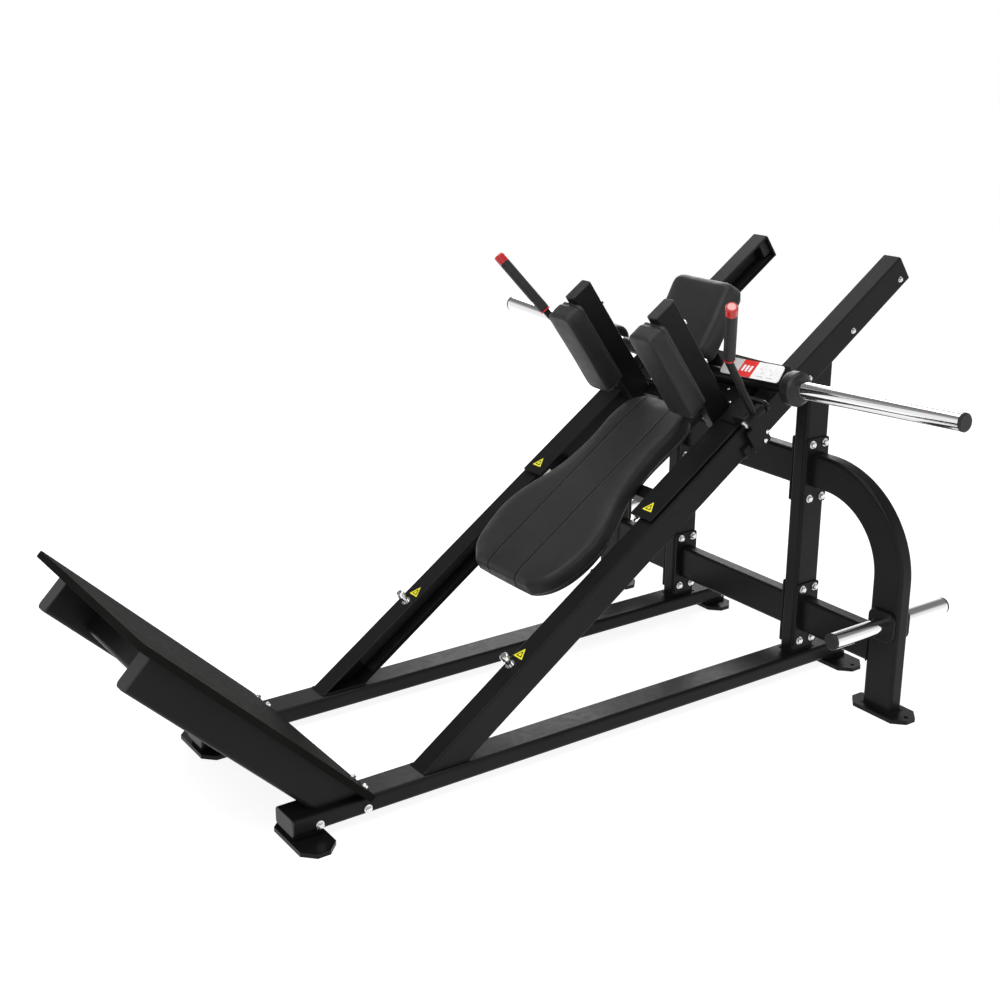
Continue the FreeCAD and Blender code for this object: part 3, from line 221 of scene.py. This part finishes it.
FRAME_COAT = powder_coat("frame_coat", (0.0060, 0.0060, 0.0062), (0.0085, 0.0085, 0.0088), 0.34)
PLATE_COAT = powder_coat("footplate_coat", (0.0065, 0.0063, 0.0058), (0.0095, 0.0091, 0.0084), 0.60,
                         grain=500.0, specular=0.006)
CHROME = polished_metal("chrome", (0.82, 0.82, 0.83), 0.07)
BOLT_CHROME = polished_metal("bolt_chrome", (0.74, 0.74, 0.75), 0.18)
STEEL = polished_metal("ground_steel", (0.42, 0.42, 0.43), 0.32, streak=(1, 8, 1))
ZINC = polished_metal("zinc_plate", (0.72, 0.71, 0.62), 0.24)
RUBBER = moulded("rubber", (0.006, 0.006, 0.006), (0.012, 0.012, 0.012), 0.55)
PLASTIC = moulded("black_plastic", (0.008, 0.008, 0.008), (0.014, 0.014, 0.014), 0.4)
NYLON = moulded("nylon", (0.012, 0.012, 0.012), (0.022, 0.022, 0.022), 0.38)
GRIP_FOAM = moulded("grip_rubber", (0.008, 0.008, 0.008), (0.014, 0.013, 0.013), 0.5, grain=900.0,
                    depth=0.0003)
RED = moulded("red_plastic", (0.36, 0.008, 0.009), (0.46, 0.012, 0.013), 0.28, coat=0.4)
PALE_RED = moulded("pale_red_plastic", (0.68, 0.30, 0.29), (0.75, 0.38, 0.36), 0.35)
VINYL = leatherette("leatherette", (0.0125, 0.0125, 0.0128), (0.016, 0.016, 0.0164), 0.44)
BOARD = painted_board("painted_board")
# Real seam thread, made near black and without reflection so that it also paints the shade in the
# seam's crease.
THREAD_AND_SEAM_SHADE = moulded("seam_thread_and_shade", (0.0012, 0.0012, 0.0012), (0.002, 0.002, 0.002), 0.8, specular=0.0)
YELLOW = moulded("yellow_print", (0.70, 0.66, 0.02), (0.80, 0.75, 0.03), 0.35)
BLACK_PRINT = moulded("black_print", (0.006, 0.006, 0.006), (0.01, 0.01, 0.01), 0.4)
WHITE_PRINT = moulded("white_print", (0.82, 0.82, 0.82), (0.9, 0.9, 0.9), 0.3, coat=0.5)
GREY_PRINT = moulded("grey_print", (0.50, 0.50, 0.50), (0.58, 0.58, 0.58), 0.3, coat=0.5)
RED_PRINT = moulded("red_print", (0.62, 0.03, 0.03), (0.72, 0.045, 0.04), 0.3, coat=0.5)

NODE_MATERIALS = {
    "footplate": PLATE_COAT, "storage_horns": CHROME, "weight_sleeve_left": CHROME,
    "weight_sleeve_right": CHROME, "frame_bolts": BOLT_CHROME, "carriage_bolts": BOLT_CHROME,
    "footplate_bolts": BOLT_CHROME, "axles_and_pins": STEEL, "roller_bearings": STEEL,
    "guide_tracks": RUBBER, "striker_plates": ZINC, "top_bump_stops": RUBBER,
    "lower_stop_posts": BOLT_CHROME, "lever_grip_left": GRIP_FOAM, "lever_grip_right": GRIP_FOAM,
    "frame_end_caps": PLASTIC, "shoulder_arm_caps": PLASTIC, "sleeve_end_caps": PLASTIC,
    "pad_boards": BOARD, "lower_roller_left": NYLON, "lower_roller_right": NYLON,
    "upper_roller_left": NYLON, "upper_roller_right": NYLON, "grip_trim_left": RED,
    "grip_trim_right": RED, "placard_face": WHITE_PRINT, "sleeve_collars": PLASTIC,
}
NOT_ROUNDED = ("placard_face", "roller_bearings", "frame_bolts", "footplate_bolts",
               "carriage_bolts")
EDGE_RADIUS = 0.0009
SHARP_ANGLE = math.radians(40)


def dress(node, material):
    """Give a CAD node its material and soften its sharp edges."""
    node.data.materials.clear()
    node.data.materials.append(material)
    if node.name in NOT_ROUNDED:
        return
    soft = node.modifiers.new("soft_edges", "BEVEL")
    soft.width = EDGE_RADIUS
    soft.segments = 2
    soft.limit_method = "ANGLE"
    soft.angle_limit = SHARP_ANGLE
    soft.harden_normals = True


for name, node in nodes.items():
    dress(node, NODE_MATERIALS.get(name, FRAME_COAT))

# ---------------------------------------------------------------- building blocks

def from_bmesh(name, mesh, material, matrix=None):
    """An object made from the mesh, which is used up."""
    data = bpy.data.meshes.new(name)
    bmesh.ops.recalc_face_normals(mesh, faces=mesh.faces)
    mesh.to_mesh(data)
    mesh.free()
    data.materials.append(material)
    piece = bpy.data.objects.new(name, data)
    scene.collection.objects.link(piece)
    if matrix is not None:
        piece.matrix_world = matrix
    return piece


def smooth(piece):
    """Shade the piece's faces as one rounded surface."""
    for face in piece.data.polygons:
        face.use_smooth = True


def raised(outline, thickness):
    """A mesh with the given outline on local XY, standing up along local +Z."""
    mesh = bmesh.new()
    rim = [mesh.verts.new((x, y, 0)) for x, y in outline]
    floor = mesh.faces.new(rim)
    grown = bmesh.ops.extrude_face_region(mesh, geom=[floor])
    top = [v for v in grown["geom"] if isinstance(v, bmesh.types.BMVert)]
    bmesh.ops.translate(mesh, verts=top, vec=(0, 0, thickness))
    return mesh


def rounded_corners(points, radius, steps=6):
    """The polygon's corners replaced by smooth bends."""
    outline = []
    for k, corner in enumerate(points):
        here = Vector(corner)
        before = Vector(points[k - 1]) - here
        after = Vector(points[(k + 1) % len(points)]) - here
        turn = before.angle(after)
        reach = min(radius / math.tan(turn / 2), before.length / 2.01, after.length / 2.01)
        start = here + before.normalized() * reach
        end = here + after.normalized() * reach
        for step in range(steps + 1):
            t = step / steps
            outline.append(tuple(start * (1 - t) ** 2 + here * (2 * t * (1 - t)) + end * t ** 2))
    return outline


def tube_along(name, points, radius, material):
    """A smooth round bead through the points."""
    curve = bpy.data.curves.new(name, "CURVE")
    curve.dimensions = "3D"
    curve.bevel_depth = radius
    curve.bevel_resolution = 3
    spline = curve.splines.new("POLY")
    spline.points.add(len(points) - 1)
    for point, place in zip(spline.points, points):
        point.co = (*place, 1)
    curve.materials.append(material)
    piece = bpy.data.objects.new(name, curve)
    scene.collection.objects.link(piece)
    return piece


def lathe(name, profile, material, matrix, steps=48):
    """A turned piece: (radius, height) pairs swept about local Z."""
    mesh = bmesh.new()
    rings = []
    for radius, height in profile:
        if radius < 1e-6:
            rings.append([mesh.verts.new((0, 0, height))])
            continue
        ring = []
        for k in range(steps):
            angle = 2 * math.pi * k / steps
            ring.append(mesh.verts.new((radius * math.cos(angle), radius * math.sin(angle),
                                        height)))
        rings.append(ring)
    for low, high in zip(rings, rings[1:]):
        for k in range(steps):
            after = (k + 1) % steps
            corners = [low[k % len(low)], low[after % len(low)], high[after % len(high)],
                       high[k % len(high)]]
            kept = list(dict.fromkeys(corners))
            if len(kept) > 2:
                mesh.faces.new(kept)
    piece = from_bmesh(name, mesh, material, matrix)
    smooth(piece)
    return piece


# ---------------------------------------------------------------- cushions

SWELL_STEPS = 20
SWELL_PRESSURE = 4.0
VOXEL = 0.005
EASING_PASSES = 25
LOWER_RIM = 0.004
# A cushion is drawn this much narrower than its pad, and 2 or 3 mm thinner, for its swelling.
OUTLINE_ROOM = 0.004
cushions = []


def cushion(name, outline, thickness, matrix, cad_nodes, rim_radius, cap):
    """A padded block ready to swell by up to `cap`, flat underneath, with a rounded upper rim."""
    mesh = raised(outline, thickness)
    rims = [e for e in mesh.edges if abs(e.verts[0].co.z - e.verts[1].co.z) < 1e-6]
    upper = [e for e in rims if e.verts[0].co.z > thickness / 2]
    lower = [e for e in rims if e.verts[0].co.z < thickness / 2]
    bmesh.ops.bevel(mesh, geom=upper, offset=rim_radius, segments=6, profile=0.5,
                    affect="EDGES")
    bmesh.ops.bevel(mesh, geom=lower, offset=LOWER_RIM, segments=2, profile=0.5,
                    affect="EDGES")
    piece = from_bmesh(name, mesh, VINYL, matrix)
    remesh = piece.modifiers.new("even_mesh", "REMESH")
    remesh.mode = "VOXEL"
    remesh.voxel_size = VOXEL
    apply_modifiers(piece)
    smooth(piece)
    piece["thickness"] = thickness
    piece["cap"] = cap
    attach(piece, "carriage")
    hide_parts(*cad_nodes)
    cushions.append(piece)
    return piece


def apply_modifiers(piece):
    """Freeze the piece's modifiers into its mesh."""
    bpy.context.view_layer.update()
    graph = bpy.context.evaluated_depsgraph_get()
    evaluated = piece.evaluated_get(graph)
    data = bpy.data.meshes.new_from_object(evaluated, depsgraph=graph)
    piece.modifiers.clear()
    piece.data = data


def swell(pieces):
    """Inflate all the cushions together as cloth, then hold each point within its cap."""
    before = {}
    for piece in pieces:
        before[piece] = [v.co.copy() for v in piece.data.vertices]
        held = piece.vertex_groups.new(name="held")
        flat = [v.index for v in piece.data.vertices if v.co.z < LOWER_RIM]
        held.add(flat, 1.0, "REPLACE")
        cloth = piece.modifiers.new("swell", "CLOTH")
        settings = cloth.settings
        settings.quality = 4
        settings.mass = 0.3
        settings.tension_stiffness = 25
        settings.compression_stiffness = 25
        settings.shear_stiffness = 12
        settings.bending_stiffness = 6
        settings.use_pressure = True
        settings.uniform_pressure_force = SWELL_PRESSURE
        settings.effector_weights.gravity = 0
        settings.vertex_group_mass = "held"
        cloth.collision_settings.use_collision = False
        cloth.point_cache.frame_end = SWELL_STEPS
    for step in range(1, SWELL_STEPS + 1):
        scene.frame_set(step)
    for piece in pieces:
        apply_modifiers(piece)
        ease(piece, before[piece], piece["cap"])
    scene.frame_set(1)


def ease(piece, before, cap):
    """Hold each point's swelling within `cap` and even it out over its neighbours."""
    data = piece.data
    start = numpy.array([tuple(place) for place in before])
    now = numpy.array([tuple(vertex.co) for vertex in data.vertices])
    edges = numpy.array([tuple(edge.vertices) for edge in data.edges])
    move = now - start
    reach = numpy.linalg.norm(move, axis=1, keepdims=True)
    move *= numpy.minimum(1.0, cap / numpy.maximum(reach, 1e-9))
    count = numpy.zeros((len(start), 1))
    numpy.add.at(count, edges[:, 0], 1)
    numpy.add.at(count, edges[:, 1], 1)
    for _ in range(EASING_PASSES):
        total = numpy.zeros_like(move)
        numpy.add.at(total, edges[:, 0], move[edges[:, 1]])
        numpy.add.at(total, edges[:, 1], move[edges[:, 0]])
        move = 0.4 * move + 0.6 * total / numpy.maximum(count, 1)
    for vertex, place in zip(data.vertices, start + move):
        vertex.co = place


def finish_cushion(piece, groove=None):
    """Subdivide once, then add a few soft, fixed wrinkles and sew any grooves in."""
    finer = piece.modifiers.new("finer", "SUBSURF")
    finer.levels = 1
    finer.render_levels = 1
    apply_modifiers(piece)
    thickness = piece["thickness"]
    for vertex in piece.data.vertices:
        lift = max(0.0, min(1.0, vertex.co.z / thickness))
        wrinkle = noise.noise(Vector((vertex.co.x * 9, vertex.co.y * 13, vertex.co.z * 6)))
        vertex.co.z += 0.0004 * wrinkle * lift
        if groove:
            vertex.co.z -= groove(vertex.co) * lift
    smooth(piece)


# ---------------------------------------------------------------- back pad

BACK_START, BACK_TOP = 0.575, 0.044
BACK_THICKNESS = 0.054
BACK_BOTTOM = BACK_TOP - BACK_THICKNESS
SEAM_Y = 0.066
back_matrix = placed(on_rail(BACK_START, 0, BACK_BOTTOM), UP_RAIL, ACROSS)
# (distance up from the lower end, half width): hips, waist and the narrow top
BACK_HALF = [(0.003, 0.129), (0.05, 0.181), (0.12, 0.208), (0.215, 0.2185), (0.30, 0.199),
             (0.395, 0.158), (0.48, 0.1415), (0.56, 0.1385), (0.63, 0.143), (0.69, 0.132),
             (0.720, 0.110), (0.737, 0.076), (0.7435, 0.030)]


def smooth_run(stations, steps=6):
    """A Catmull-Rom curve through the stations."""
    run = []
    for k in range(len(stations) - 1):
        before = Vector(stations[max(k - 1, 0)])
        start, end = Vector(stations[k]), Vector(stations[k + 1])
        after = Vector(stations[min(k + 2, len(stations) - 1)])
        for step in range(steps):
            t = step / steps
            point = 0.5 * (2 * start + (end - before) * t
                           + (2 * before - 5 * start + 4 * end - after) * t ** 2
                           + (3 * start - before - 3 * end + after) * t ** 3)
            run.append((point.x, point.y))
    run.append(tuple(stations[-1]))
    return run


right_edge = smooth_run(BACK_HALF)
back_outline = right_edge + [(x, -y) for x, y in reversed(right_edge)]
back_pad = cushion("back_cushion", back_outline, BACK_THICKNESS - 0.003, back_matrix,
                   ["back_pad"], rim_radius=0.016, cap=0.005)


def back_groove(place):
    """How deep the two lengthwise seams draw the back pad in at a place."""
    off = abs(abs(place.y) - SEAM_Y)
    return 0.0018 * math.exp(-(off / 0.0024) ** 2) + 0.0006 * math.exp(-(off / 0.010) ** 2)


# ---------------------------------------------------------------- shoulder and head pads

def box_outline(long, wide, corner):
    """A pad's rounded outline, a little smaller than the pad."""
    x, y = (long - OUTLINE_ROOM) / 2, (wide - OUTLINE_ROOM) / 2
    return rounded_corners([(-x, -y), (x, -y), (x, y), (-x, y)], corner)


SHOULDER_Y, SHOULDER_FACE, SHOULDER_THICKNESS = 0.184, 1.236, 0.058
SHOULDER_LOW, SHOULDER_LENGTH, SHOULDER_WIDTH = 0.088, 0.309, 0.110
SHOULDER_BACK = SHOULDER_FACE + SHOULDER_THICKNESS
shoulder_middle = SHOULDER_LOW + SHOULDER_LENGTH / 2
shoulder_outline = box_outline(SHOULDER_LENGTH, SHOULDER_WIDTH, 0.028)
for side, word in SIDES:
    spot = placed(on_rail(SHOULDER_BACK, side * SHOULDER_Y, shoulder_middle), RAIL_NORMAL, ACROSS)
    cushion(f"shoulder_cushion_{word}", shoulder_outline, SHOULDER_THICKNESS - 0.002, spot,
            [f"shoulder_pad_{word}"], rim_radius=0.0075, cap=0.0022)

HEAD_TILT = math.radians(SLOPE_DEGREES + 25)
HEAD_LENGTH, HEAD_WIDTH, HEAD_THICKNESS = 0.248, 0.254, 0.064
HEAD_TOP_ALONG, HEAD_TOP_LIFT = 1.633, 0.253
head_up = Vector((math.cos(HEAD_TILT), 0, math.sin(HEAD_TILT)))
head_out = Vector((-math.sin(HEAD_TILT), 0, math.cos(HEAD_TILT)))
head_top = on_rail(HEAD_TOP_ALONG, 0, HEAD_TOP_LIFT)
head_middle = head_top - head_up * (HEAD_LENGTH / 2) - head_out * HEAD_THICKNESS
head_matrix = placed(head_middle, head_up, ACROSS)
head_outline = box_outline(HEAD_LENGTH, HEAD_WIDTH, 0.040)
cushion("head_cushion", head_outline, HEAD_THICKNESS - 0.003, head_matrix, ["head_pad"],
        rim_radius=0.018, cap=0.0035)

swell(cushions)
for pad in cushions:
    finish_cushion(pad, back_groove if pad is back_pad else None)

# ---------------------------------------------------------------- seams

SEAM_STEP = 0.004
SEAM_SINK = 0.0004
THREAD_RADIUS = 0.0014


def seam_line(name, pad, run):
    """A sewn line laid on the finished cushion, following its surface along the run."""
    mesh = bmesh.new()
    mesh.from_mesh(pad.data)
    surface = BVHTree.FromBMesh(mesh)
    mesh.free()
    points = []
    for start, way in run:
        place = surface.ray_cast(Vector(start), Vector(way))[0]
        if place is not None:
            points.append(pad.matrix_world @ (place + Vector(way).normalized() * SEAM_SINK))
    # The thread's near-black, unreflecting material also paints the crease shade along the seam.
    line = tube_along(name, points, THREAD_RADIUS, THREAD_AND_SEAM_SHADE)
    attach(line, "carriage")


for side, word in SIDES:
    # Rays find the surface: first up the front rim, then along the top.
    front = [((-0.1, side * SEAM_Y, 0.004 + SEAM_STEP * k), (1, 0, 0)) for k in range(9)]
    over = [((0.014 + SEAM_STEP * k, side * SEAM_Y, 0.2), (0, 0, -1)) for k in range(181)]
    seam_line(f"back_seam_{word}", back_pad, front + over)

# ---------------------------------------------------------------- printed panels

PRINT_THICKNESS = 0.0003


def print_on(name, outline, material, matrix, body="carriage"):
    """A thin printed shape, lying on local XY."""
    piece = from_bmesh(name, raised(outline, PRINT_THICKNESS), material, matrix)
    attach(piece, body)


SLEEVE_ALONG, SLEEVE_LIFT = 1.4655, 0.0196
SLEEVE_TILT = math.radians(3.1)
PLACARD_SLOPE = SLOPE + math.radians(19)
# The printed sheet's middle: outwards, up its slope and above the sleeve's axis
SHEET_MIDDLE, SHEET_SHIFT, SHEET_RISE = 0.237, 0.0215, 0.0288
SHEET_HALF = 0.0268
FIRST_PRINT, SECOND_PRINT, THIRD_PRINT = 0.0, 0.0003, 0.0006
sleeve_way = Vector((0, -math.cos(SLEEVE_TILT), math.sin(SLEEVE_TILT)))
sheet_slope = Vector((math.cos(PLACARD_SLOPE), 0, math.sin(PLACARD_SLOPE)))
sheet_up = (sheet_slope - sleeve_way * sheet_slope.dot(sleeve_way)).normalized()
sheet_out = sheet_up.cross(-sleeve_way)
sheet_middle = (on_rail(SLEEVE_ALONG, 0, SLEEVE_LIFT)
                + sleeve_way * (SHEET_MIDDLE / math.cos(SLEEVE_TILT))
                + sheet_up * SHEET_SHIFT + sheet_out * SHEET_RISE)


def on_sheet(rise):
    """The placard's face: local X up its slope, local Y towards the machine's middle."""
    return placed(sheet_middle + sheet_out * rise, sheet_up, -sleeve_way)


def slanted(y_start, y_end, lean, low=-SHEET_HALF, high=SHEET_HALF):
    """A band across the placard that leans sideways by `lean` from bottom to top."""
    return [(low, y_start), (high, y_start + lean), (high, y_end + lean), (low, y_end)]


print_on("placard_grey", rounded_corners(slanted(0.032, 0.1165, 0), 0.010), GREY_PRINT,
         on_sheet(FIRST_PRINT))
print_on("placard_red", rounded_corners(slanted(-0.006, 0.051, -0.011), 0.0005), RED_PRINT,
         on_sheet(SECOND_PRINT))
for k in range(3):
    start = 0.030 - 0.014 * k
    block = slanted(start, start + 0.0085, -0.005, -0.010, 0.010)
    print_on(f"placard_block_{k}", rounded_corners(block, 0.002), WHITE_PRINT,
             on_sheet(THIRD_PRINT))
for k in range(2):
    start = -0.042 - 0.036 * k
    for high, lean in ((0.006, 0.010), (-0.006, -0.008)):
        stroke = slanted(start, start + 0.0032, lean, high - 0.004, high + 0.004)
        print_on(f"placard_mark_{k}_{int(high * 1000)}", rounded_corners(stroke, 0.0006),
                 GREY_PRINT, on_sheet(FIRST_PRINT))
    line = slanted(start - 0.012, start + 0.012, 0, -0.0185, -0.0165)
    print_on(f"placard_line_{k}", rounded_corners(line, 0.0005), GREY_PRINT,
             on_sheet(FIRST_PRINT))

# (material, distance from middle to corner, height, name) of a warning triangle's layers
TRIANGLE = ((BLACK_PRINT, 0.026, 0.0, "border"), (YELLOW, 0.026 * 0.86, 0.0002, "field"),
            (BLACK_PRINT, 0.026 * 0.50, 0.0004, "inner"), (YELLOW, 0.026 * 0.30, 0.0006, "heart"))


def warning_triangle(name, along, y, lift, body):
    """A plain yellow triangle with a dark border and no symbol."""
    for material, size, rise, word in TRIANGLE:
        corners = [(size * math.cos(a), size * math.sin(a))
                   for a in (math.radians(90 + 120 * k) for k in range(3))]
        matrix = placed(on_rail(along, y, lift + rise), UP_RAIL, ACROSS)
        turned = matrix @ Matrix.Rotation(math.radians(-90), 4, "Z")
        print_on(f"{name}_{word}", rounded_corners(corners, 0.002), material, turned, body)


# (name, distance up the rails, distance from the middle, height over the rails, body)
TRIANGLE_PLACES = (("rail_triangle", 0.413, 0.266, 0.0001, "frame"),
                   ("lip_triangle", 0.967, 0.258, 0.0121, "carriage"))
for side, word in SIDES:
    for name, along, out, lift, body in TRIANGLE_PLACES:
        warning_triangle(f"{name}_{word}", along, side * out, lift, body)

# ---------------------------------------------------------------- buttons, screws and caps

# (radius, height) pairs of the small turned pieces
GRIP_BUTTON = ((0.0, 0.0012), (0.009, 0.0012), (0.011, 0.0004), (0.0115, -0.001), (0.0, -0.001))
LEVER_SCREW = ((0.0, 0.0052), (0.0045, 0.0046), (0.0068, 0.0024), (0.0072, 0.0), (0.0, -0.001))
PIN_CAP = ((0.0, 0.0042), (0.006, 0.0038), (0.0105, 0.0020), (0.0122, 0.0), (0.0, -0.001))
DECK_SCREW = ((0.0, 0.0034), (0.0032, 0.0030), (0.0050, 0.0014), (0.0053, 0.0), (0.0, -0.001))

ELBOW_ALONG, ELBOW_OUT, ELBOW_LIFT = 1.326, 0.400, 0.280
TIP_ALONG, TIP_OUT, TIP_LIFT = 1.337, 0.517, 0.495
PIN_FRONT, PIN_OUT, PIN_LIFT = 1.317, 0.330, 0.024
STOP_PLATE_OUT = 0.328
# (distance up the rails, height over them) of the screws in a lever's stop plate
STOP_PLATE_SCREWS = ((1.376, -0.058), (1.357, -0.076))
# (distance up the rails, distance from the middle) of the deck plate's screws
DECK_SCREWS = ((1.437, 0.152), (1.393, 0.150), (1.393, 0.196))
DECK_TOP = 0.006


def facing(origin, way):
    """A matrix at `origin` whose local Z points along `way`."""
    return Matrix.Translation(origin) @ way.to_track_quat("Z", "Y").to_matrix().to_4x4()


def fitting(name, profile, material, origin, way, body):
    """A small turned piece at `origin` that points along `way`."""
    piece = lathe(name, profile, material, facing(origin, way))
    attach(piece, body)


for side, word in SIDES:
    grip_tip = on_rail(TIP_ALONG, side * TIP_OUT, TIP_LIFT)
    way = (grip_tip - on_rail(ELBOW_ALONG, side * ELBOW_OUT, ELBOW_LIFT)).normalized()
    fitting(f"grip_button_{word}", GRIP_BUTTON, PALE_RED, grip_tip - way * 0.0008, way,
            f"lever_{word}")
    for along, lift in STOP_PLATE_SCREWS:
        fitting(f"lever_screw_{word}_{round(along * 1000)}", LEVER_SCREW, BOLT_CHROME,
                on_rail(along, side * STOP_PLATE_OUT, lift), ACROSS * side, f"lever_{word}")

for side, word in SIDES:
    fitting(f"lever_pin_cap_{word}", PIN_CAP, BOLT_CHROME,
            on_rail(PIN_FRONT, side * PIN_OUT, PIN_LIFT), -UP_RAIL, "carriage")

for side, word in SIDES:
    for k, (along, out) in enumerate(DECK_SCREWS):
        fitting(f"deck_screw_{word}_{k}", DECK_SCREW, BOLT_CHROME,
                on_rail(along, side * out, DECK_TOP), RAIL_NORMAL, "carriage")

# ---------------------------------------------------------------- welds

WELD_STEP = 0.004
TUBE_WELD, STUB_WELD, RAIL_WELD = 0.0028, 0.0024, 0.0026
LEG_WIDTH = 0.104
STUB_LOW, STUB_HIGH = 0.196 - 0.054, 0.196 + 0.054
RAIL_FOOT_ALONG, RAIL_Y, RAIL_HALF, RAIL_SEAT = 0.004, 0.274, 0.033, 0.140


def weld(name, corners, radius):
    """A rippled fillet weld along straight runs between the corners."""
    points = []
    for start, end in zip(corners, corners[1:]):
        start, end = Vector(start), Vector(end)
        count = max(2, int((end - start).length / WELD_STEP))
        for k in range(count):
            points.append(start.lerp(end, k / count))
    points.append(Vector(corners[-1]))
    bead = tube_along(name, points, radius, FRAME_COAT)
    for k, point in enumerate(bead.data.splines[0].points):
        point.radius = 0.85 + 0.25 * math.sin(k * 1.7) ** 2
    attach(bead, "frame")


def box_ring(low, high, z):
    """The four corners of an upright box's footprint at height z, closed."""
    (x0, y0), (x1, y1) = low[:2], high[:2]
    return [(x0, y0, z), (x1, y0, z), (x1, y1, z), (x0, y1, z), (x0, y0, z)]


for side, word in SIDES:
    low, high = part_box(f"upright_{word}")
    weld(f"upright_weld_{word}", box_ring(low, high, low[2]), TUBE_WELD)
    leg_low, leg_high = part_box(f"outrigger_{word}")
    leg_outer = side * max(abs(leg_low[1]), abs(leg_high[1]))
    leg_inner = leg_outer - side * LEG_WIDTH
    ring_low = (leg_low[0], min(leg_inner, leg_outer))
    ring_high = (leg_high[0], max(leg_inner, leg_outer))
    weld(f"leg_weld_{word}", box_ring(ring_low, ring_high, leg_low[2]), TUBE_WELD)
    for x in (leg_low[0] + 0.001, leg_high[0] - 0.001):
        stub_run = [(x, leg_inner, STUB_LOW), (x, leg_inner, STUB_HIGH)]
        weld(f"stub_weld_{word}_{round(x * 1000)}", stub_run, STUB_WELD)
    for edge in (-RAIL_HALF, RAIL_HALF):
        start = on_rail(RAIL_FOOT_ALONG, side * RAIL_Y + edge, 0)
        end = Vector((start.x + RAIL_SEAT, start.y, start.z))
        weld(f"rail_foot_weld_{word}_{round(edge * 1000)}", [start, end], RAIL_WELD)

# ---------------------------------------------------------------- floor, light and camera

def floor_material():
    """Pale grey, lit a little from within so that it fades into the white surroundings."""
    material, tree, shader = new_material("pale_floor", (0.36, 0.36, 0.36), 0.8, specular=0.05)
    tint(tree, shader, noise_map(tree, 1.5), (0.35, 0.35, 0.35), (0.37, 0.37, 0.37))
    shader.inputs["Emission Color"].default_value = (1, 1, 1, 1)
    shader.inputs["Emission Strength"].default_value = 0.86
    return material


floor_mesh = bmesh.new()
bmesh.ops.create_grid(floor_mesh, x_segments=4, y_segments=4, size=30)
floor = from_bmesh("floor", floor_mesh, floor_material())
floor.location.z = -0.0005
floor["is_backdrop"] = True


def soft_light(name, place, aim, size, power):
    """A rectangular lamp that points from `place` to `aim`."""
    lamp = bpy.data.lights.new(name, "AREA")
    lamp.shape = "RECTANGLE"
    lamp.size, lamp.size_y = size
    lamp.energy = power
    holder = bpy.data.objects.new(name, lamp)
    holder.location = place
    way = Vector(aim) - Vector(place)
    holder.rotation_euler = way.to_track_quat("-Z", "Y").to_euler()
    scene.collection.objects.link(holder)


MIDDLE = (0, 0, 0.6)
soft_light("key", (-2.6, -1.2, 3.6), MIDDLE, (2.6, 2.6), 90)
soft_light("top", (0.6, 0.2, 4.2), MIDDLE, (4.0, 3.0), 85)
soft_light("side", (1.2, -4.2, 2.2), MIDDLE, (3.0, 2.4), 25)
soft_light("rim", (2.8, 3.0, 2.8), MIDDLE, (2.5, 2.5), 80)


def studio_world():
    """White round the horizon and below it, falling to a dim grey dome overhead."""
    world = bpy.data.worlds.new("studio")
    world.use_nodes = True
    tree = world.node_tree
    place = tree.nodes.new("ShaderNodeTexCoord")
    split = tree.nodes.new("ShaderNodeSeparateXYZ")
    ramp = tree.nodes.new("ShaderNodeMapRange")
    ramp.interpolation_type = "SMOOTHSTEP"
    ramp.inputs["From Min"].default_value = 0.22
    ramp.inputs["From Max"].default_value = 0.60
    ramp.inputs["To Min"].default_value = 1.0
    ramp.inputs["To Max"].default_value = 0.22
    sky = tree.nodes["Background"]
    tree.links.new(place.outputs["Generated"], split.inputs["Vector"])
    tree.links.new(split.outputs["Z"], ramp.inputs["Value"])
    tree.links.new(ramp.outputs["Result"], sky.inputs["Strength"])
    sky.inputs["Color"].default_value = (1, 1, 1, 1)
    return world


scene.world = studio_world()
scene.view_settings.view_transform = "Standard"

CAMERA_PLACE = (-2.2331, -3.1216, 1.9306)
CAMERA_YAW = math.radians(56.19)
CAMERA_PITCH = math.radians(-16.51)
CAMERA_ROLL = math.radians(-0.04)
look = Vector((math.cos(CAMERA_PITCH) * math.cos(CAMERA_YAW),
               math.cos(CAMERA_PITCH) * math.sin(CAMERA_YAW), math.sin(CAMERA_PITCH)))
lens = bpy.data.cameras.new("camera")
lens.lens = 51.54
lens.sensor_width = 36
lens.shift_x = 0.0336
lens.shift_y = -0.0489
camera = bpy.data.objects.new("camera", lens)
aim = look.to_track_quat("-Z", "Y").to_matrix().to_4x4()
camera.matrix_world = (Matrix.Translation(CAMERA_PLACE) @ aim
                       @ Matrix.Rotation(CAMERA_ROLL, 4, "Z"))
scene.collection.objects.link(camera)
scene.camera = camera

# ---------------------------------------------------------------- size and end

bpy.context.view_layer.update()
low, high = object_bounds()
